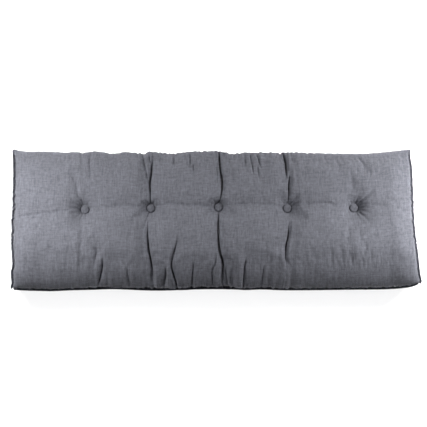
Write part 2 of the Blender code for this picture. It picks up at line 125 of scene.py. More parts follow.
# Folds of the front panel, seen from above. Columns: half width of the valley in mm, its
# depth in mm, depth of the slit along its floor in mm (below zero it is a ridge instead),
# half width of the slit in mm, which ends run out, and the points in mm on its way.
FOLDS = {
    "row_left": (40, 5, 0, 6, "start", ((-722, 4), (-653, 12), (-606, 18), (-541, 26), (-485, 30))),
    "row_left_slit": (
        10, 0, 4, 6, "end",
        ((-738, 3), (-700, 5), (-653, 12), (-606, 18), (-541, 26), (-500, 30))),
    "row_12": (58, 13, 1.2, 10, "", ((-474, 33), (-352, 43), (-233, 40))),
    "row_23": (58, 15, 1.2, 10, "", ((-233, 40), (-155, 50), (-89, 43), (15, 41))),
    "row_34": (58, 15, 1.2, 10, "", ((15, 41), (94, 48), (174, 50), (267, 41))),
    "row_45": (58, 13, 1.2, 10, "", ((267, 41), (386, 50), (511, 40))),
    "row_right": (60, 7, 0, 9, "end", ((511, 40), (580, 44), (650, 40))),
    "column_1_up": (60, 5, 0, 9, "end", ((-480, 40), (-492, 75), (-500, 120), (-496, 200))),
    "column_1_fold": (26, 5, 3, 8, "start", ((-484, 50), (-498, 83), (-506, 122))),
    "column_1_down": (60, 2.5, 0, 9, "end", ((-476, 20), (-482, -70), (-484, -200))),
    "column_1_seam": (20, 3, 2, 5, "end", ((-457, 242), (-459, 194), (-454, 157), (-457, 128))),
    "column_2_up": (
        58, 20, 0, 6, "", ((-227, 240), (-230, 194), (-233, 157), (-237, 128), (-235, 94), (-233, 45))),
    "column_2_up_slit": (
        10, 0, 27, 7.5, "both", ((-228, 226), (-230, 194), (-233, 157), (-237, 128), (-235, 94), (-232, 52))),
    "column_2_up_thin": (
        10, 0, 7, 4, "start", ((-229, 214), (-233, 157), (-237, 128), (-235, 94), (-233, 45))),
    "column_2_branch": (20, 5, 8, 4.5, "end", ((-269, 246), (-257, 194), (-249, 157), (-238, 118))),
    "column_2_stem": (14, 3, 8, 4.5, "end", ((-244, 246), (-240, 222), (-233, 190))),
    "column_2_down": (
        58, 18, 0, 6, "", ((-234, 25), (-241, -40), (-238, -109), (-232, -144), (-225, -180), (-221, -230))),
    "column_2_down_slit": (
        10, 0, 24, 7, "both",
        ((-241, -20), (-242, -60), (-238, -109), (-232, -144), (-225, -180), (-221, -216))),
    "column_2_side": (26, 4, 2, 6, "end", ((-238, 18), (-252, -26), (-262, -62))),
    "column_3_up": (58, 20, 5, 5, "", ((16, 244), (20, 183), (27, 146), (28, 120), (26, 91), (16, 48))),
    "column_3_up_slit": (
        10, 0, 32, 9, "both", ((15, 262), (20, 183), (27, 146), (28, 120), (26, 91), (13, 26))),
    "column_3_top": (10, 0, 30, 7.5, "both", ((16, 285), (18, 220), (21, 180), (26, 148))),
    "column_3_neck": (10, 0, 26, 8, "both", ((16, 40), (14, -15), (14, -60), (16, -110))),
    "column_3_up_side": (16, 3, 6, 4, "both", ((8, 232), (8, 191), (11, 153), (12, 105))),
    "column_3_down": (
        58, 18, 5, 5, "",
        ((16, 28), (14, -37), (15, -87), (20, -126), (29, -162), (29, -206), (26, -246))),
    "column_3_down_slit": (
        10, 0, 32, 9, "both",
        ((15, 10), (14, -37), (15, -87), (20, -126), (29, -162), (29, -206), (24, -262))),
    "column_3_down_side": (14, 2, 2, 5, "both", ((29, -8), (30, -40), (29, -80))),
    "column_3_low": (22, 5, 9, 5, "start", ((1, -95), (6, -137), (2, -169), (-7, -191), (-4, -243))),
    "column_4_up": (50, 14, 28, 8.5, "end", ((252, 250), (258, 225), (263, 202), (264, 168), (266, 130))),
    "column_4_inner": (46, 14, 0, 6, "start", ((277, 162), (273, 128), (272, 102), (268, 48))),
    "column_4_inner_slit": (10, 0, 18, 6.5, "both", ((278, 176), (273, 128), (272, 96), (268, 36))),
    "column_4_down": (
        56, 16, 0, 6, "end", ((268, 25), (266, -44), (265, -73), (259, -105), (257, -137), (261, -195))),
    "column_4_down_slit": (
        10, 0, 19, 6.5, "both", ((270, -4), (269, -44), (266, -73), (259, -105), (257, -137), (258, -172))),
    "column_4_side": (18, 3, 3, 5, "both", ((277, 8), (276, -37), (270, -78))),
    "column_5_up": (60, 5, 0, 9, "end", ((511, 45), (505, 100), (500, 190))),
    "pad_1_low": (24, 5, 5, 5, "both", ((-426, -80), (-425, -123), (-430, -152), (-434, -190))),
    "pad_1_low_side": (22, 5, 8, 6, "start", ((-401, -126), (-403, -169), (-407, -195), (-420, -240))),
    "pad_2_low": (
        30, 9, 19, 6.5, "start",
        ((-131, -44), (-137, -91), (-146, -123), (-154, -152), (-155, -177), (-149, -202), (-137, -244))),
    "pad_2_low_left": (16, 4, 8, 5, "start", ((-176, -168), (-175, -206), (-182, -244))),
    "pad_2_low_right": (16, 4, 6, 5, "start", ((-74, -150), (-77, -188), (-82, -244))),
    "pad_2_top_a": (14, 3, 7, 4, "end", ((-90, 240), (-90, 210), (-88, 178))),
    "pad_2_top_b": (14, 3, 5, 4, "both", ((-80, 208), (-77, 180), (-73, 145))),
    "pad_2_top_c": (14, 3, 5, 4, "end", ((-150, 238), (-147, 184))),
    "pad_2_top_d": (14, 3, 4, 4, "end", ((-203, 238), (-198, 190))),
    "pad_3_top_a": (18, 4, 10, 5, "end", ((155, 242), (163, 212), (173, 172))),
    "pad_3_top_b": (14, 3, 5, 4, "both", ((156, 205), (160, 175), (166, 130))),
    "pad_3_top_c": (16, 4, 6, 4, "end", ((131, 240), (140, 183), (144, 148))),
    "pad_3_top_d": (14, 3, 6, 4, "end", ((112, 242), (115, 178))),
    "pad_3_top_e": (14, 3, 5, 4, "end", ((54, 240), (56, 192))),
    "pad_3_low_a": (18, 4, 8, 5, "start", ((40, -175), (43, -205), (49, -244))),
    "pad_3_low_b": (24, 6, 8, 6, "start", ((118, -130), (108, -180), (104, -245))),
    "pad_3_low_c": (18, 4, 3, 5, "start", ((180, -165), (176, -205), (171, -245))),
    "pad_1_mid_low": (18, 4, 2, 5, "start", ((-340, -165), (-334, -200), (-328, -240))),
    "pad_1_right_low": (18, 3, 3, 5, "start", ((-320, -170), (-312, -205), (-305, -245))),
    "ridge_1_left": (10, 0, -3.5, 10, "start", ((-501, -30), (-500, -110), (-496, -180), (-490, -248))),
    "ridge_1_right": (10, 0, -4.5, 8, "start", ((-428, -120), (-424, -180), (-424, -248))),
    "ridge_1_last": (10, 0, -4, 7, "both", ((-337, -160), (-333, -200), (-328, -245))),
    "ridge_1_low": (10, 0, -3, 7, "start", ((-372, -150), (-368, -200), (-372, -248))),
    "ridge_1_edge": (10, 0, -3, 7, "start", ((-300, -170), (-296, -210), (-292, -248))),
    "ridge_2_foot": (10, 0, -4, 7, "start", ((-218, -160), (-212, -200), (-208, -248))),
    "ridge_2_left": (10, 0, -4, 7, "start", ((-166, -150), (-168, -190), (-166, -248))),
    "ridge_2_right": (10, 0, -4, 7, "start", ((-86, -140), (-90, -190), (-95, -248))),
    "ridge_3_right": (10, 0, -4.5, 7, "start", ((50, -160), (52, -200), (58, -248))),
    "ridge_3_middle": (10, 0, -4.5, 9, "start", ((92, -95), (92, -150), (88, -200), (84, -248))),
    "ridge_3_last": (10, 0, -3, 7, "start", ((189, -170), (186, -205), (182, -248))),
    "ridge_4_side": (10, 0, -4, 7, "both", ((248, -60), (244, -120), (243, -190))),
    "ridge_4_top": (10, 0, -4, 8, "both", ((284, 215), (290, 150), (288, 90))),
    "ridge_5_low": (10, 0, -2, 12, "both", ((516, -50), (514, -120), (515, -200))),
    "end_left_soft": (26, 4, 1, 6, "both", ((-728, 76), (-695, 85), (-655, 92))),
    "end_right_top": (24, 4, 3, 6, "both", ((522, 232), (540, 209), (560, 186))),
    "end_right_ray_up": (22, 3, 2, 6, "end", ((528, 56), (557, 80), (590, 104))),
    "end_right_ray_low": (24, 3, 2, 6, "end", ((526, 26), (548, 0), (572, -30))),
}

# Columns of the mesh run along the deepest folds. Each row holds the points in mm, from the
# base seam to the top seam, that one such column passes through.
GUIDES = (
    ((-221, -250), (-225, -180), (-232, -144), (-238, -109), (-241, -40), (-233, 30), (-235, 94), (-237, 128),
     (-233, 157), (-230, 194), (-227, 250)),
    ((-137, -250), (-149, -202), (-155, -177), (-154, -152), (-146, -123), (-137, -91), (-131, -44),
     (-131, 250)),
    ((26, -250), (29, -206), (29, -162), (20, -126), (15, -87), (14, -37), (16, 40), (26, 91), (28, 120),
     (27, 146), (20, 183), (16, 250)),
    ((262, -250), (261, -195), (257, -137), (259, -105), (265, -73), (266, -44), (267, 35), (272, 102),
     (271, 140), (265, 168), (263, 202), (258, 225), (253, 250)),
)
GUIDE_REST = (-420, 400)  # x in mm beyond which the mesh columns run straight

# Where the mesh is finer than elsewhere, along the pillow. Columns: x in mm, reach in mm,
# spacing in mm.
FINE_PLACES = (
    (-744, 5, 0.8),
    (-474, 40, 2.2),
    (-233, 10, 1.2),
    (-140, 10, 1.5),
    (15, 10, 1.2),
    (267, 12, 1.2),
    (511, 40, 2.2),
    (744, 5, 0.8),
)

# Pleats that run out from the buttons. Columns: button, direction in degrees from the pillow's
# long way, reach in mm, depth in mm, half width in degrees.
BUTTON_RAYS = (
    (1, 108, 84, 7.0, 7), (1, 128, 48, 6.0, 8), (1, 150, 62, 7.5, 9), (1, 172, 70, 7.0, 8),
    (1, 197, 52, 6.0, 8), (1, 222, 58, 6.5, 8), (1, 248, 46, 5.0, 7), (1, 282, 40, 3.5, 7),
    (1, 62, 44, 3.0, 7), (1, 20, 36, 2.5, 8),
    (2, 62, 44, 3.5, 8), (2, 122, 46, 4.5, 9), (2, 148, 60, 5.0, 9), (2, 214, 44, 3.0, 8),
    (2, 250, 60, 3.5, 6), (2, 318, 40, 3.0, 8),
    (3, 58, 48, 3.5, 8), (3, 128, 52, 4.5, 8), (3, 152, 56, 5.0, 9), (3, 226, 44, 3.0, 8),
    (3, 312, 44, 3.0, 8),
    (4, 28, 62, 5.5, 9), (4, 52, 74, 6.0, 9), (4, 128, 44, 3.0, 8), (4, 232, 42, 3.0, 8),
    (4, 306, 44, 3.5, 8),
    (5, 44, 84, 7.5, 7), (5, 22, 66, 7.0, 8), (5, 4, 62, 6.5, 8), (5, -18, 60, 6.0, 8),
    (5, -42, 72, 7.0, 7), (5, -66, 52, 5.0, 8), (5, 72, 50, 4.5, 8), (5, 118, 52, 3.5, 7),
    (5, 160, 40, 2.5, 8),
)

# Each button is pulled aside, so one side of its pit is a straight, steep wall.
# Columns: direction of that side in degrees, how far the wall reaches in mm.
PIT_SIDES = ((166, 64), (125, 44), (100, 40), (26, 74), (8, 64))
WALL_ROUNDING = 2.3  # over 1 the wall eases into the cloth above it
WALL_FOCUS = 1.5  # the higher, the narrower that side is

# How fine the mesh is round the pillow, near its long seams and its button row, in metres.
SEAM_BAND, SEAM_SPACING, PLAIN_SEAM_SPACING = 0.010, 1.7 * MM, 5.0 * MM
ROW_PLACE = 0.205  # from the top seam to the button row
ROW_BAND, ROW_SPACING, PLAIN_ROW_SPACING = 0.034, 3.4 * MM, 7.0 * MM
BASE_SPACING, BACK_SPACING = 9 * MM, 20 * MM
SPACING_SAMPLES = 6000
ROW_Y = 35 * MM  # where the button row crosses the guides
LINE_STEPS, CROWN_STEPS, GUIDE_STEPS, FOLD_STEPS = 12, 160, 80, 24

# How a fold lies across and along its way.
FOLD_SEED = 17
FLOOR_SHARPNESS = 1.8  # over 1 a fold has a sharper floor
RUN_OUT = 0.42  # share of its way over which a loose end runs out
SLIT_END_WIDTH = 0.45  # share of its width that a slit keeps where it runs out
CROSSING = 4  # the higher, the less two valleys deepen each other where they meet
LIP_LIMIT = 15.0 * MM  # a slit deeper than this raises its lips no higher
HIGH_LIP, LOW_LIP = 0.28, 0.08  # height of a slit's two lips against its depth
LIP_PLACE, LIP_WIDTH = 1.6, 1.1  # in half widths of the slit
SEAM_HOLD = 0.042  # the seams hold folds shallow within this distance
SEAM_SHARE = 0.22  # share of its depth that a fold keeps at a seam
SEAM_SLOPE = 0.070  # closer to a seam the front is pressed in square to the cloth, not straight down

# Gathers that run in from the seams, drawn at random between these limits. Lengths in metres.
GATHER_END = 0.71  # none beyond this far from the middle of the pillow
GATHER_SPACING = (0.009, 0.026)
GATHER_WIDTH = (2.4 * MM, 4.6 * MM)
GATHER_LENGTH = (0.25, 1.0)  # against the longest
GATHER_LEAN = (-0.30, 0.30)
GATHER_BEND = (-3.0, 3.0)
GATHER_SIZE = (0.30, 1.0)
GATHER_SHARPNESS = 1.4  # under 2 a gather has a sharper floor
GATHERED_MIDDLE, GATHERED_REACH = -0.02, 0.36  # they are deepest round this place
END_GATHER_LENGTH, END_GATHER_SIZE = 0.55, 0.06  # at the ends, against the middle
END_CROWDING, MORE_CROWDING = 0.40, 0.80  # how close they lie at the ends, and how much closer elsewhere
TOP_GATHERS = (3, 0.075)  # seed, and length of the longest
BASE_GATHERS = (5, 0.110)
TOP_GATHER_SHARE, BASE_GATHER_SHARE = 1.7, 0.7

# How a pleat at a button lies across and along its way.
PLEAT_RISE = 0.22  # share of its way over which it deepens
PLEAT_FADE = 1.2
PLEAT_WIDTH = 0.75  # against the half width in the table
PLEAT_NARROWING = 0.45
PLEAT_LIP, PLEAT_LIP_PLACE, PLEAT_LIP_WIDTH = 0.35, 2.2, 1.1

# Soft wrinkles. Columns: how much longer than wide, width in metres, place in the noise.
BROAD_WRINKLES = (7.0, 0.026, 7.3)
FINE_WRINKLES = (8.0, 0.012, 2.9)
FINE_WRINKLE_SHARE = 0.35
WRINKLED_MIDDLE, WRINKLED_REACH = -0.06, 0.44
LOW_WRINKLES = (0.02, 0.20)  # they begin at this y, and are full this much lower
HIGH_WRINKLES = (0.12, 0.10)  # they begin at this y, and are full this much higher
HIGH_WRINKLE_SHARE = 0.6
END_WRINKLES, ROW_WRINKLES = 0.08, 0.12  # what is left of them at the ends and at the row

# Lumps of the filling. Columns: size in metres, place in the noise.
BROAD_LUMPS = (0.11, 1.7)
FINE_LUMPS = (0.045, 4.1)
FINE_LUMP_SHARE = 0.45

# How far from a seam or a button the cloth is free again, in metres.
BUTTON_CALM, BUTTON_FREE = 0.02, 0.06
LUMPS_FREE, GATHERS_FREE, WRINKLES_FREE = 0.08, 0.06, 0.05

# How the top, front and back seams are drawn in. Columns: the direction in Y and Z, seed of
# the waves, half width of the groove in metres, depth against a plain seam's.
SEAM_PINCHES = (
    ((-0.8, 0.1), 31, 4.5 * MM, 0.8),
    ((0.9, -0.5), 32, 3.6 * MM, 2.8),
    ((0.8, 0.5), 33, 4.5 * MM, 0.8),
)
PINCH_UNEVENNESS = 0.4
PINCH_END = 0.012  # the long seams are pinched from this far off their ends
SEAM_WAVES = (0.017, 0.026, 0.041)
NOTCH_REACH = 0.008
BASE_LIP, BASE_LIP_PLACE, BASE_LIP_REACH = 0.5 * MM, 6.0 * MM, 5.0 * MM
BASE_LIP_WAVES, BASE_LIP_SEED = (0.021, 0.034, 0.055), 34
BASE_LIP_UNEVENNESS = 0.5
BASE_LIP_END = 0.02

# How the side seams are drawn in and puckered. Lengths in metres, waves for left and right.
SIDE_WAVES = ((0.017, 0.026, 0.041), (0.019, 0.028, 0.045))
SIDE_SEEDS = (21, 22)
PUCKER_WAVES = ((0.011, 0.015), (0.012, 0.016))
PUCKER_SEEDS = (23, 24)
SIDE_GROOVE = 2.2 * MM
SIDE_SHARES = (1.2, 0.5)  # depth of the left and the right groove against the side pinch
SIDE_UNEVENNESS = 0.25
SIDE_PULL = 0.1  # how much of the groove goes towards the middle of the pillow
GUSSET_CALM, GUSSET_FREE = 0.02, 0.03  # none this near a gusset's middle, all of it so much further out
CORNER_TURN = 0.03  # near a corner the groove turns towards the long seams
PUCKERED_MIDDLE, PUCKERED_REACH = 0.01, 0.13
PUCKERED_ENDS = 0.45
SWING, SWING_REACH = 1.2 * MM, 0.014  # how far the seam's ripple takes the cloth beside it
SEAM_SWING, SEAM_SWING_REACH = 3.8 * MM, 0.0045
PUCKER, PUCKER_START, PUCKER_REACH = 2.4 * MM, 0.003, 0.013
FRONT_PUCKER = 0.3  # share of a pucker's sideways move that the front makes

# How the cloth settles: where it comes loose, in metres from what holds it.
SETTLE_FRAMES = 20
HOLD_STEPS = 20
LOOSE_TOP, LOOSE_FRONT, LOOSE_SIDE, LOOSE_BUTTON = 0.05, 0.13, 0.05, 0.03
LOOSE_SLIT = 4.0 * MM  # a slit this deep is held fast

# The weave map, in metres.
ARC_STEPS = 400
PANEL_GAP = 0.01
GUSSET_PLACE = 2.0

# How the yarns look.
YARN_APART = 1.37  # keeps neighbouring yarns apart in the noise
YARN_RUN = 0.04  # how soon a yarn changes along its length, in metres
YARN_SIDE = 0.4  # share of a yarn's height that rounds off across the other yarns
YARN_SPREAD = 2.4
CLOUD_SCALE, CLOUD_DETAIL, CLOUD_SPREAD = 95.0, 3.0, 0.5
# How much the colour follows the weave's relief: painted shade in the dips between yarns, painted light on
# their tops.
RELIEF_MIDDLE, RELIEF_PAINTED_SHADE = 0.62, 0.55
DARKEST = 0.2

# The covered buttons.
DOME_FLATNESS = 0.38  # the lower, the flatter the dome is on top
CURL = 1.6  # how deep the rim curls under, against its height
RIM_DROP, RIM_BAND = 0.15, 0.45  # where the gathers lie on the rim, from 0 to 1
BUTTON_GATHERS = 3.2
BUTTON_TURN, BUTTON_TURN_SEED = 0.5, 5  # most that a button is turned either way, in radians
# The buttons wear the cushion's cloth painted darker by this factor: painted shade standing in for the shade
# of their pits.
BUTTON_PAINTED_SHADE = 0.80
BUTTON_SEED_STEP = 3.1

# The softboxes over the pillow: place, and what each is aimed at, in metres.
SOFTBOX = (0.4, 0.4)
LEFT_LAMP = ((-1.00, 0.38, 0.88), (-0.76, 0.0, 0.1))
RIGHT_LAMP = ((1.20, 0.38, 0.82), (0.82, 0.0, 0.1))
MIDDLE_LAMP = ((0.0, 0.5, 0.95), (0.0, 0.0, 0.12))
BACKDROP_LAMP = ((0.0, 0.0, 5.0), (0.0, 0.0, 0.10))
BACKDROP_SIZE = (12.0, 12.0)
FLOOR_SIZE, FLOOR_ROUGHNESS = 40.0, 0.8
END_SPREAD, MIDDLE_SPREAD = 120, 75  # how wide their light spreads, in degrees


class PillowShape(bpy.types.PropertyGroup):
    """Sizes of the stuffed cover and its buttons."""

    mesh_along: FloatProperty(
        name="Mesh along", description="Distance between points along the pillow, where the cloth is smooth",
        default=2.9 * MM, min=2.0 * MM, unit="LENGTH")
    mesh_around: FloatProperty(
        name="Mesh around", description="Distance between points across the front, where the cloth is smooth",
        default=6.4 * MM, min=3.0 * MM, unit="LENGTH")
    seat_radius: FloatProperty(
        name="Seat radius", description="Flat cloth under a button", default=15.2 * MM, unit="LENGTH")
    seat_rim: FloatProperty(
        name="Seat rim", description="Radius at which the cloth around a button is free again",
        default=19.6 * MM, unit="LENGTH")
    seat_depth: FloatProperty(
        name="Seat depth", description="How far a button pulls the cloth below its crown",
        default=46.0 * MM, unit="LENGTH")
    pit_spread: FloatProperty(
        name="Pit spread", description="How fast the cloth rises again around a button",
        default=31.0 * MM, unit="LENGTH")
    pleat_share: FloatProperty(
        name="Pleats", description="Depth of the pleats at the buttons against their table",
        default=1.5, min=0.0)
    slit_share: FloatProperty(
        name="Slit depth", description="Depth of the sharp creases against the table of folds",
        default=1.5, min=0.0)
    slit_width: FloatProperty(
        name="Slit width", description="Width of the sharp creases against the table of folds",
        default=0.78, min=0.1)
    wrinkle_depth: FloatProperty(
        name="Wrinkles", description="Height of the soft wrinkles that run from seam to seam",
        default=6.0 * MM, unit="LENGTH")
    lump_depth: FloatProperty(
        name="Filling lumps", description="How uneven the filling is under the cloth",
        default=3.0 * MM, unit="LENGTH")
    gather_depth: FloatProperty(
        name="Seam gathers", description="Depth of the small gathers along the seams",
        default=5.2 * MM, unit="LENGTH")
    notch_depth: FloatProperty(
        name="Top notches", description="How far each gather draws the top seam in",
        default=5.0 * MM, unit="LENGTH")
    seam_pinch: FloatProperty(
        name="Seam pinch", description="How far a seam is drawn in between the panels it joins",
        default=3.2 * MM, unit="LENGTH")
    side_pinch: FloatProperty(
        name="Side seam pinch", description="How deep a side seam lies between its panels",
        default=16.0 * MM, unit="LENGTH")
    settle_spacing: FloatProperty(
        name="Settling mesh", description="Distance between points of the mesh that is simulated",
        default=8.0 * MM, min=5.0 * MM, unit="LENGTH")
    settle_reach: FloatProperty(
        name="Settling reach", description="Most that a point of the cloth moves as it settles",
        default=7.0 * MM, unit="LENGTH")
    settle_pressure: FloatProperty(
        name="Filling pressure", description="How hard the filling presses on the cover",
        default=3.0, min=0.0)
    settle_looseness: FloatProperty(
        name="Looseness", description="How much larger the cover is cut than the shape it holds",
        default=0.015, subtype="FACTOR", min=0.0, max=0.2)


class PillowCloth(bpy.types.PropertyGroup):
    """Colours and yarns of the cloth."""

    warp_colour: FloatVectorProperty(
        name="Warp colour", description="Threads that run from the top seam to the base seam",
        subtype="COLOR", default=(0.190, 0.194, 0.222), min=0.0, max=1.0)
    weft_colour: FloatVectorProperty(
        name="Weft colour", description="Threads that run along the pillow",
        subtype="COLOR", default=(0.150, 0.154, 0.180), min=0.0, max=1.0)
    thread_pitch: FloatProperty(
        name="Thread pitch", description="Distance between neighbouring threads",
        default=2.2 * MM, unit="LENGTH")
    thread_relief: FloatProperty(
        name="Thread relief", description="How far the threads stand out of the weave",
        default=0.5 * MM, unit="LENGTH")
    unevenness: FloatProperty(
        name="Yarn unevenness", description="How much the threads differ in lightness",
        default=0.44, subtype="FACTOR", min=0.0, max=1.0)


class PillowStage(bpy.types.PropertyGroup):
    """The studio around the pillow."""

    floor_colour: FloatVectorProperty(
        name="Floor colour", description="Pale floor under the pillow",
        subtype="COLOR", default=(0.93, 0.93, 0.93), min=0.0, max=1.0)
    camera_height: FloatProperty(
        name="Camera height", description="Height of the camera above the floor",
        default=6.0, unit="LENGTH")
    frame_width: FloatProperty(
        name="Frame width", description="Width of the picture at the floor",
        default=1.5893, unit="LENGTH")
    left_power: FloatProperty(
        name="Left lamp", description="Power of the soft lamp over the left end, in watts",
        default=7.0)
    right_power: FloatProperty(
        name="Right lamp", description="Power of the soft lamp over the right end, in watts",
        default=8.7)
    middle_power: FloatProperty(
        name="Middle lamp", description="Power of the soft lamp over the middle, in watts",
        default=0.5)
    floor_power: FloatProperty(
        name="Backdrop lamp", description="Power of the lamp that only lights the floor, in watts",
        default=760.0)
    room_light: FloatProperty(
        name="Room light", description="Strength of the even light from all around",
        default=0.015)


def smooth_line(points, step_count):
    """A smooth line through points given in mm: a Catmull-Rom spline, in metres."""
    knots = np.array(points, float) * MM
    knots = np.vstack((2 * knots[0] - knots[1], knots, 2 * knots[-1] - knots[-2]))
    spans = len(knots) - 3
    steps = np.linspace(0.0, spans, step_count)
    first = np.minimum(steps.astype(int), spans - 1)
    t = (steps - first)[:, None]
    a, b, c, d = (knots[first + k] for k in range(4))
    return 0.5 * (2 * b + (c - a) * t + (2 * a - 5 * b + 4 * c - d) * t**2 + (3 * b - a - 3 * c + d) * t**3)


def read_line(table, along):
    """The second column of a table, smoothly, at places along its first column, in metres."""
    line = smooth_line(table, LINE_STEPS * len(table))
    return np.interp(along, line[:, 0], line[:, 1])


def ease(share):
    """A smooth step from 0 to 1."""
    share = np.clip(share, 0.0, 1.0)
    return share * share * (3.0 - 2.0 * share)


def at_least(least, share):
    """A share from 0 to 1, squeezed so that it begins at the least."""
    return least + (1.0 - least) * share


def bell(distance, reach):
    """1 at no distance, and nearly 0 from twice the reach on."""
    return np.exp(-((distance / reach) ** 2))


def plateau(place, middle, reach):
    """Near 1 around the middle, and falling off steeply about the reach away from it."""
    return np.exp(-(((place - middle) / reach) ** 4))


def hollow(share):
    """Cross-section of a fold between two stuffed pads: 1 at its line, 0 from share 1 on."""
    return np.clip(1.0 - share, 0.0, None) ** FLOOR_SHARPNESS


def distance_to_line(x, y, line):
    """How far each place is from the line, on which side, and what share of it lies before."""
    nearest = np.full(x.shape, np.inf)
    share, side = np.zeros(x.shape), np.ones(x.shape)
    for k in range(len(line) - 1):
        start, run = line[k], line[k + 1] - line[k]
        t = ((x - start[0]) * run[0] + (y - start[1]) * run[1]) / (run @ run)
        t = np.clip(t, 0.0, 1.0)
        gap = np.hypot(x - start[0] - t * run[0], y - start[1] - t * run[1])
        closer = gap < nearest
        nearest = np.where(closer, gap, nearest)
        share = np.where(closer, (k + t) / (len(line) - 1), share)
        turn = run[0] * (y - start[1]) - run[1] * (x - start[0])
        side = np.where(closer, np.sign(turn), side)
    return nearest, side, share


def waves(along, lengths, seed):
    """An uneven ripple along a seam, from -1 to 1: sines of several wavelengths in metres."""
    phases = np.random.default_rng(seed).uniform(0.0, 2 * math.pi, len(lengths))
    total = sum(np.sin(2 * math.pi * along / length + phase) for length, phase in zip(lengths, phases))
    return total / len(lengths)


def crowd(start, stop, spacing, fine_places):
    """Places from start to stop that lie closer together around the fine places."""
    fine = np.linspace(start, stop, SPACING_SAMPLES)
    density = np.full(fine.shape, 1.0 / spacing)
    for place, reach, close in fine_places:
        density += (1.0 / close - 1.0 / spacing) * bell(fine - place, reach)
    total = np.concatenate(([0.0], np.cumsum((density[1:] + density[:-1]) / 2 * np.diff(fine))))
    count = int(round(total[-1]))
    return np.interp(np.linspace(0.0, total[-1], count + 1), total, fine)


def crown(share):
    """Rise of the front panel at a share of the way from its top seam to its base seam."""
    line = smooth_line(FRONT_CROWN, CROWN_STEPS)
    return np.interp(share, line[:, 0], line[:, 1])


class CoverGrid:
    """Where each point of the cover belongs: stations along the pillow, places around it.

    Panels are numbered 0 for the front, 1 for the base and 2 for the back. The ring tells how
    far out a point lies on a gusset, from 0 at its middle to 1 at its seam.
    """

    def __init__(self, along, around, plain=False):
        half = LENGTH / 2
        fine = [] if plain else [(x * MM, reach * MM, close * MM) for x, reach, close in FINE_PLACES]
        body = crowd(-half, half, along, fine)[::-1] / half
        steps = np.array(GUSSET_STEPS[::2] if plain else GUSSET_STEPS)
        self.x_share = np.concatenate((np.ones(len(steps)), body, -np.ones(len(steps))))
        self.ring = np.concatenate((1.0 - steps[::-1], np.ones(len(body)), 1.0 - steps))
        seam = (SEAM_BAND, PLAIN_SEAM_SPACING if plain else SEAM_SPACING)
        row = (ROW_PLACE, ROW_BAND, PLAIN_ROW_SPACING if plain else ROW_SPACING)
        front = crowd(0.0, FRONT_WIDTH, around, [(0.0, *seam), row, (FRONT_WIDTH, *seam)]) / FRONT_WIDTH
        base = crowd(0.0, BASE_WIDTH, BASE_SPACING, [(0.0, *seam), (BASE_WIDTH, *seam)]) / BASE_WIDTH
        back = crowd(0.0, BACK_WIDTH, BACK_SPACING, [(0.0, *seam), (BACK_WIDTH, *seam)]) / BACK_WIDTH
        self.share = np.concatenate((front[:-1], base[:-1], back[:-1]))
        counts = (len(front) - 1, len(base) - 1, len(back) - 1)
        self.panel = np.repeat((0, 1, 2), counts)

    def along(self):
        """One number per station that falls steadily from end to end, gussets included."""
        return self.x_share + np.sign(self.x_share) * (1.0 - self.ring)

    def around(self):
        """One number per place that grows steadily round the pillow."""
        return self.panel + self.share


def button_places():
    """The middle of each button, in metres in the outlines' own measure."""
    return [(x * MM, y * MM) for x, y in BUTTON_PLACES]


def frame_shift():
    """From the outlines' own measure to the frame: how far the first button was moved."""
    low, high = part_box(BUTTON_NODES[0])
    x, y = button_places()[0]
    return (low.x + high.x) / 2 - x, (low.y + high.y) / 2 - y


def read_outline(table, along):
    """The second column of an outline, at places along its first column, in metres."""
    rows = np.array(table, float) * MM
    return np.interp(along, rows[:, 0], rows[:, 1])


def follow_guides(x, y, nominal_x):
    """Bends the mesh columns sideways so that they run along the deepest folds."""
    low, high = (edge * MM for edge in GUIDE_REST)
    marks, shifts = [low], [np.zeros(x.shape)]
    for guide in GUIDES:
        line = smooth_line([(b, a) for a, b in guide], GUIDE_STEPS)
        target = np.interp(y, line[:, 0], line[:, 1])
        mark = np.interp(ROW_Y, line[:, 0], line[:, 1])
        left, right = read_outline(LEFT_OUTLINE, y), read_outline(RIGHT_OUTLINE, y)
        straight = left + (right - left) * (mark / LENGTH + 0.5)
        marks.append(mark)
        shifts.append(target - straight)
    marks.append(high)
    shifts.append(np.zeros(x.shape))
    shift = np.zeros(x.shape)
    for k in range(len(marks) - 1):
        t = (nominal_x - marks[k]) / (marks[k + 1] - marks[k])
        inside = (t >= 0.0) & (t < 1.0)
        shift = np.where(inside, shifts[k] + (shifts[k + 1] - shifts[k]) * ease(t), shift)
    return x + shift


def fold_depths(x, y, shape):
    """How deep the buttons and folds press the front panel: valleys, slits, and their ridges."""
    valleys, slits, ridges = (np.zeros(x.shape) for _ in range(3))
    random = np.random.default_rng(FOLD_SEED)
    for half_width, valley, slit, slit_width, loose, points in FOLDS.values():
        gap, side, share = distance_to_line(x, y, smooth_line(points, FOLD_STEPS))
        fade = np.ones(x.shape)
        if loose in ("start", "both"):
            fade *= ease(share / RUN_OUT)
        if loose in ("end", "both"):
            fade *= ease((1.0 - share) / RUN_OUT)
        valleys += (fade * valley * MM * hollow(gap / (half_width * MM))) ** CROSSING
        depth = fade * slit * MM * shape.slit_share
        if slit < 0:
            ridges = np.maximum(ridges, -depth * bell(gap, slit_width * MM))
            continue
        width = slit_width * MM * shape.slit_width * at_least(SLIT_END_WIDTH, fade)
        slits = np.maximum(slits, depth * hollow(gap / width))
        higher = random.choice((-1.0, 1.0))
        height = np.minimum(depth, LIP_LIMIT) * np.where(side == higher, HIGH_LIP, LOW_LIP)
        ridges = np.maximum(ridges, height * bell(gap / (slit_width * MM) - LIP_PLACE, LIP_WIDTH))
    for (button_x, button_y), (aim, reach) in zip(button_places(), PIT_SIDES):
        valleys += pit_depth(x - button_x, y - button_y, aim, reach, shape) ** CROSSING
    return valleys ** (1.0 / CROSSING), slits, ridges


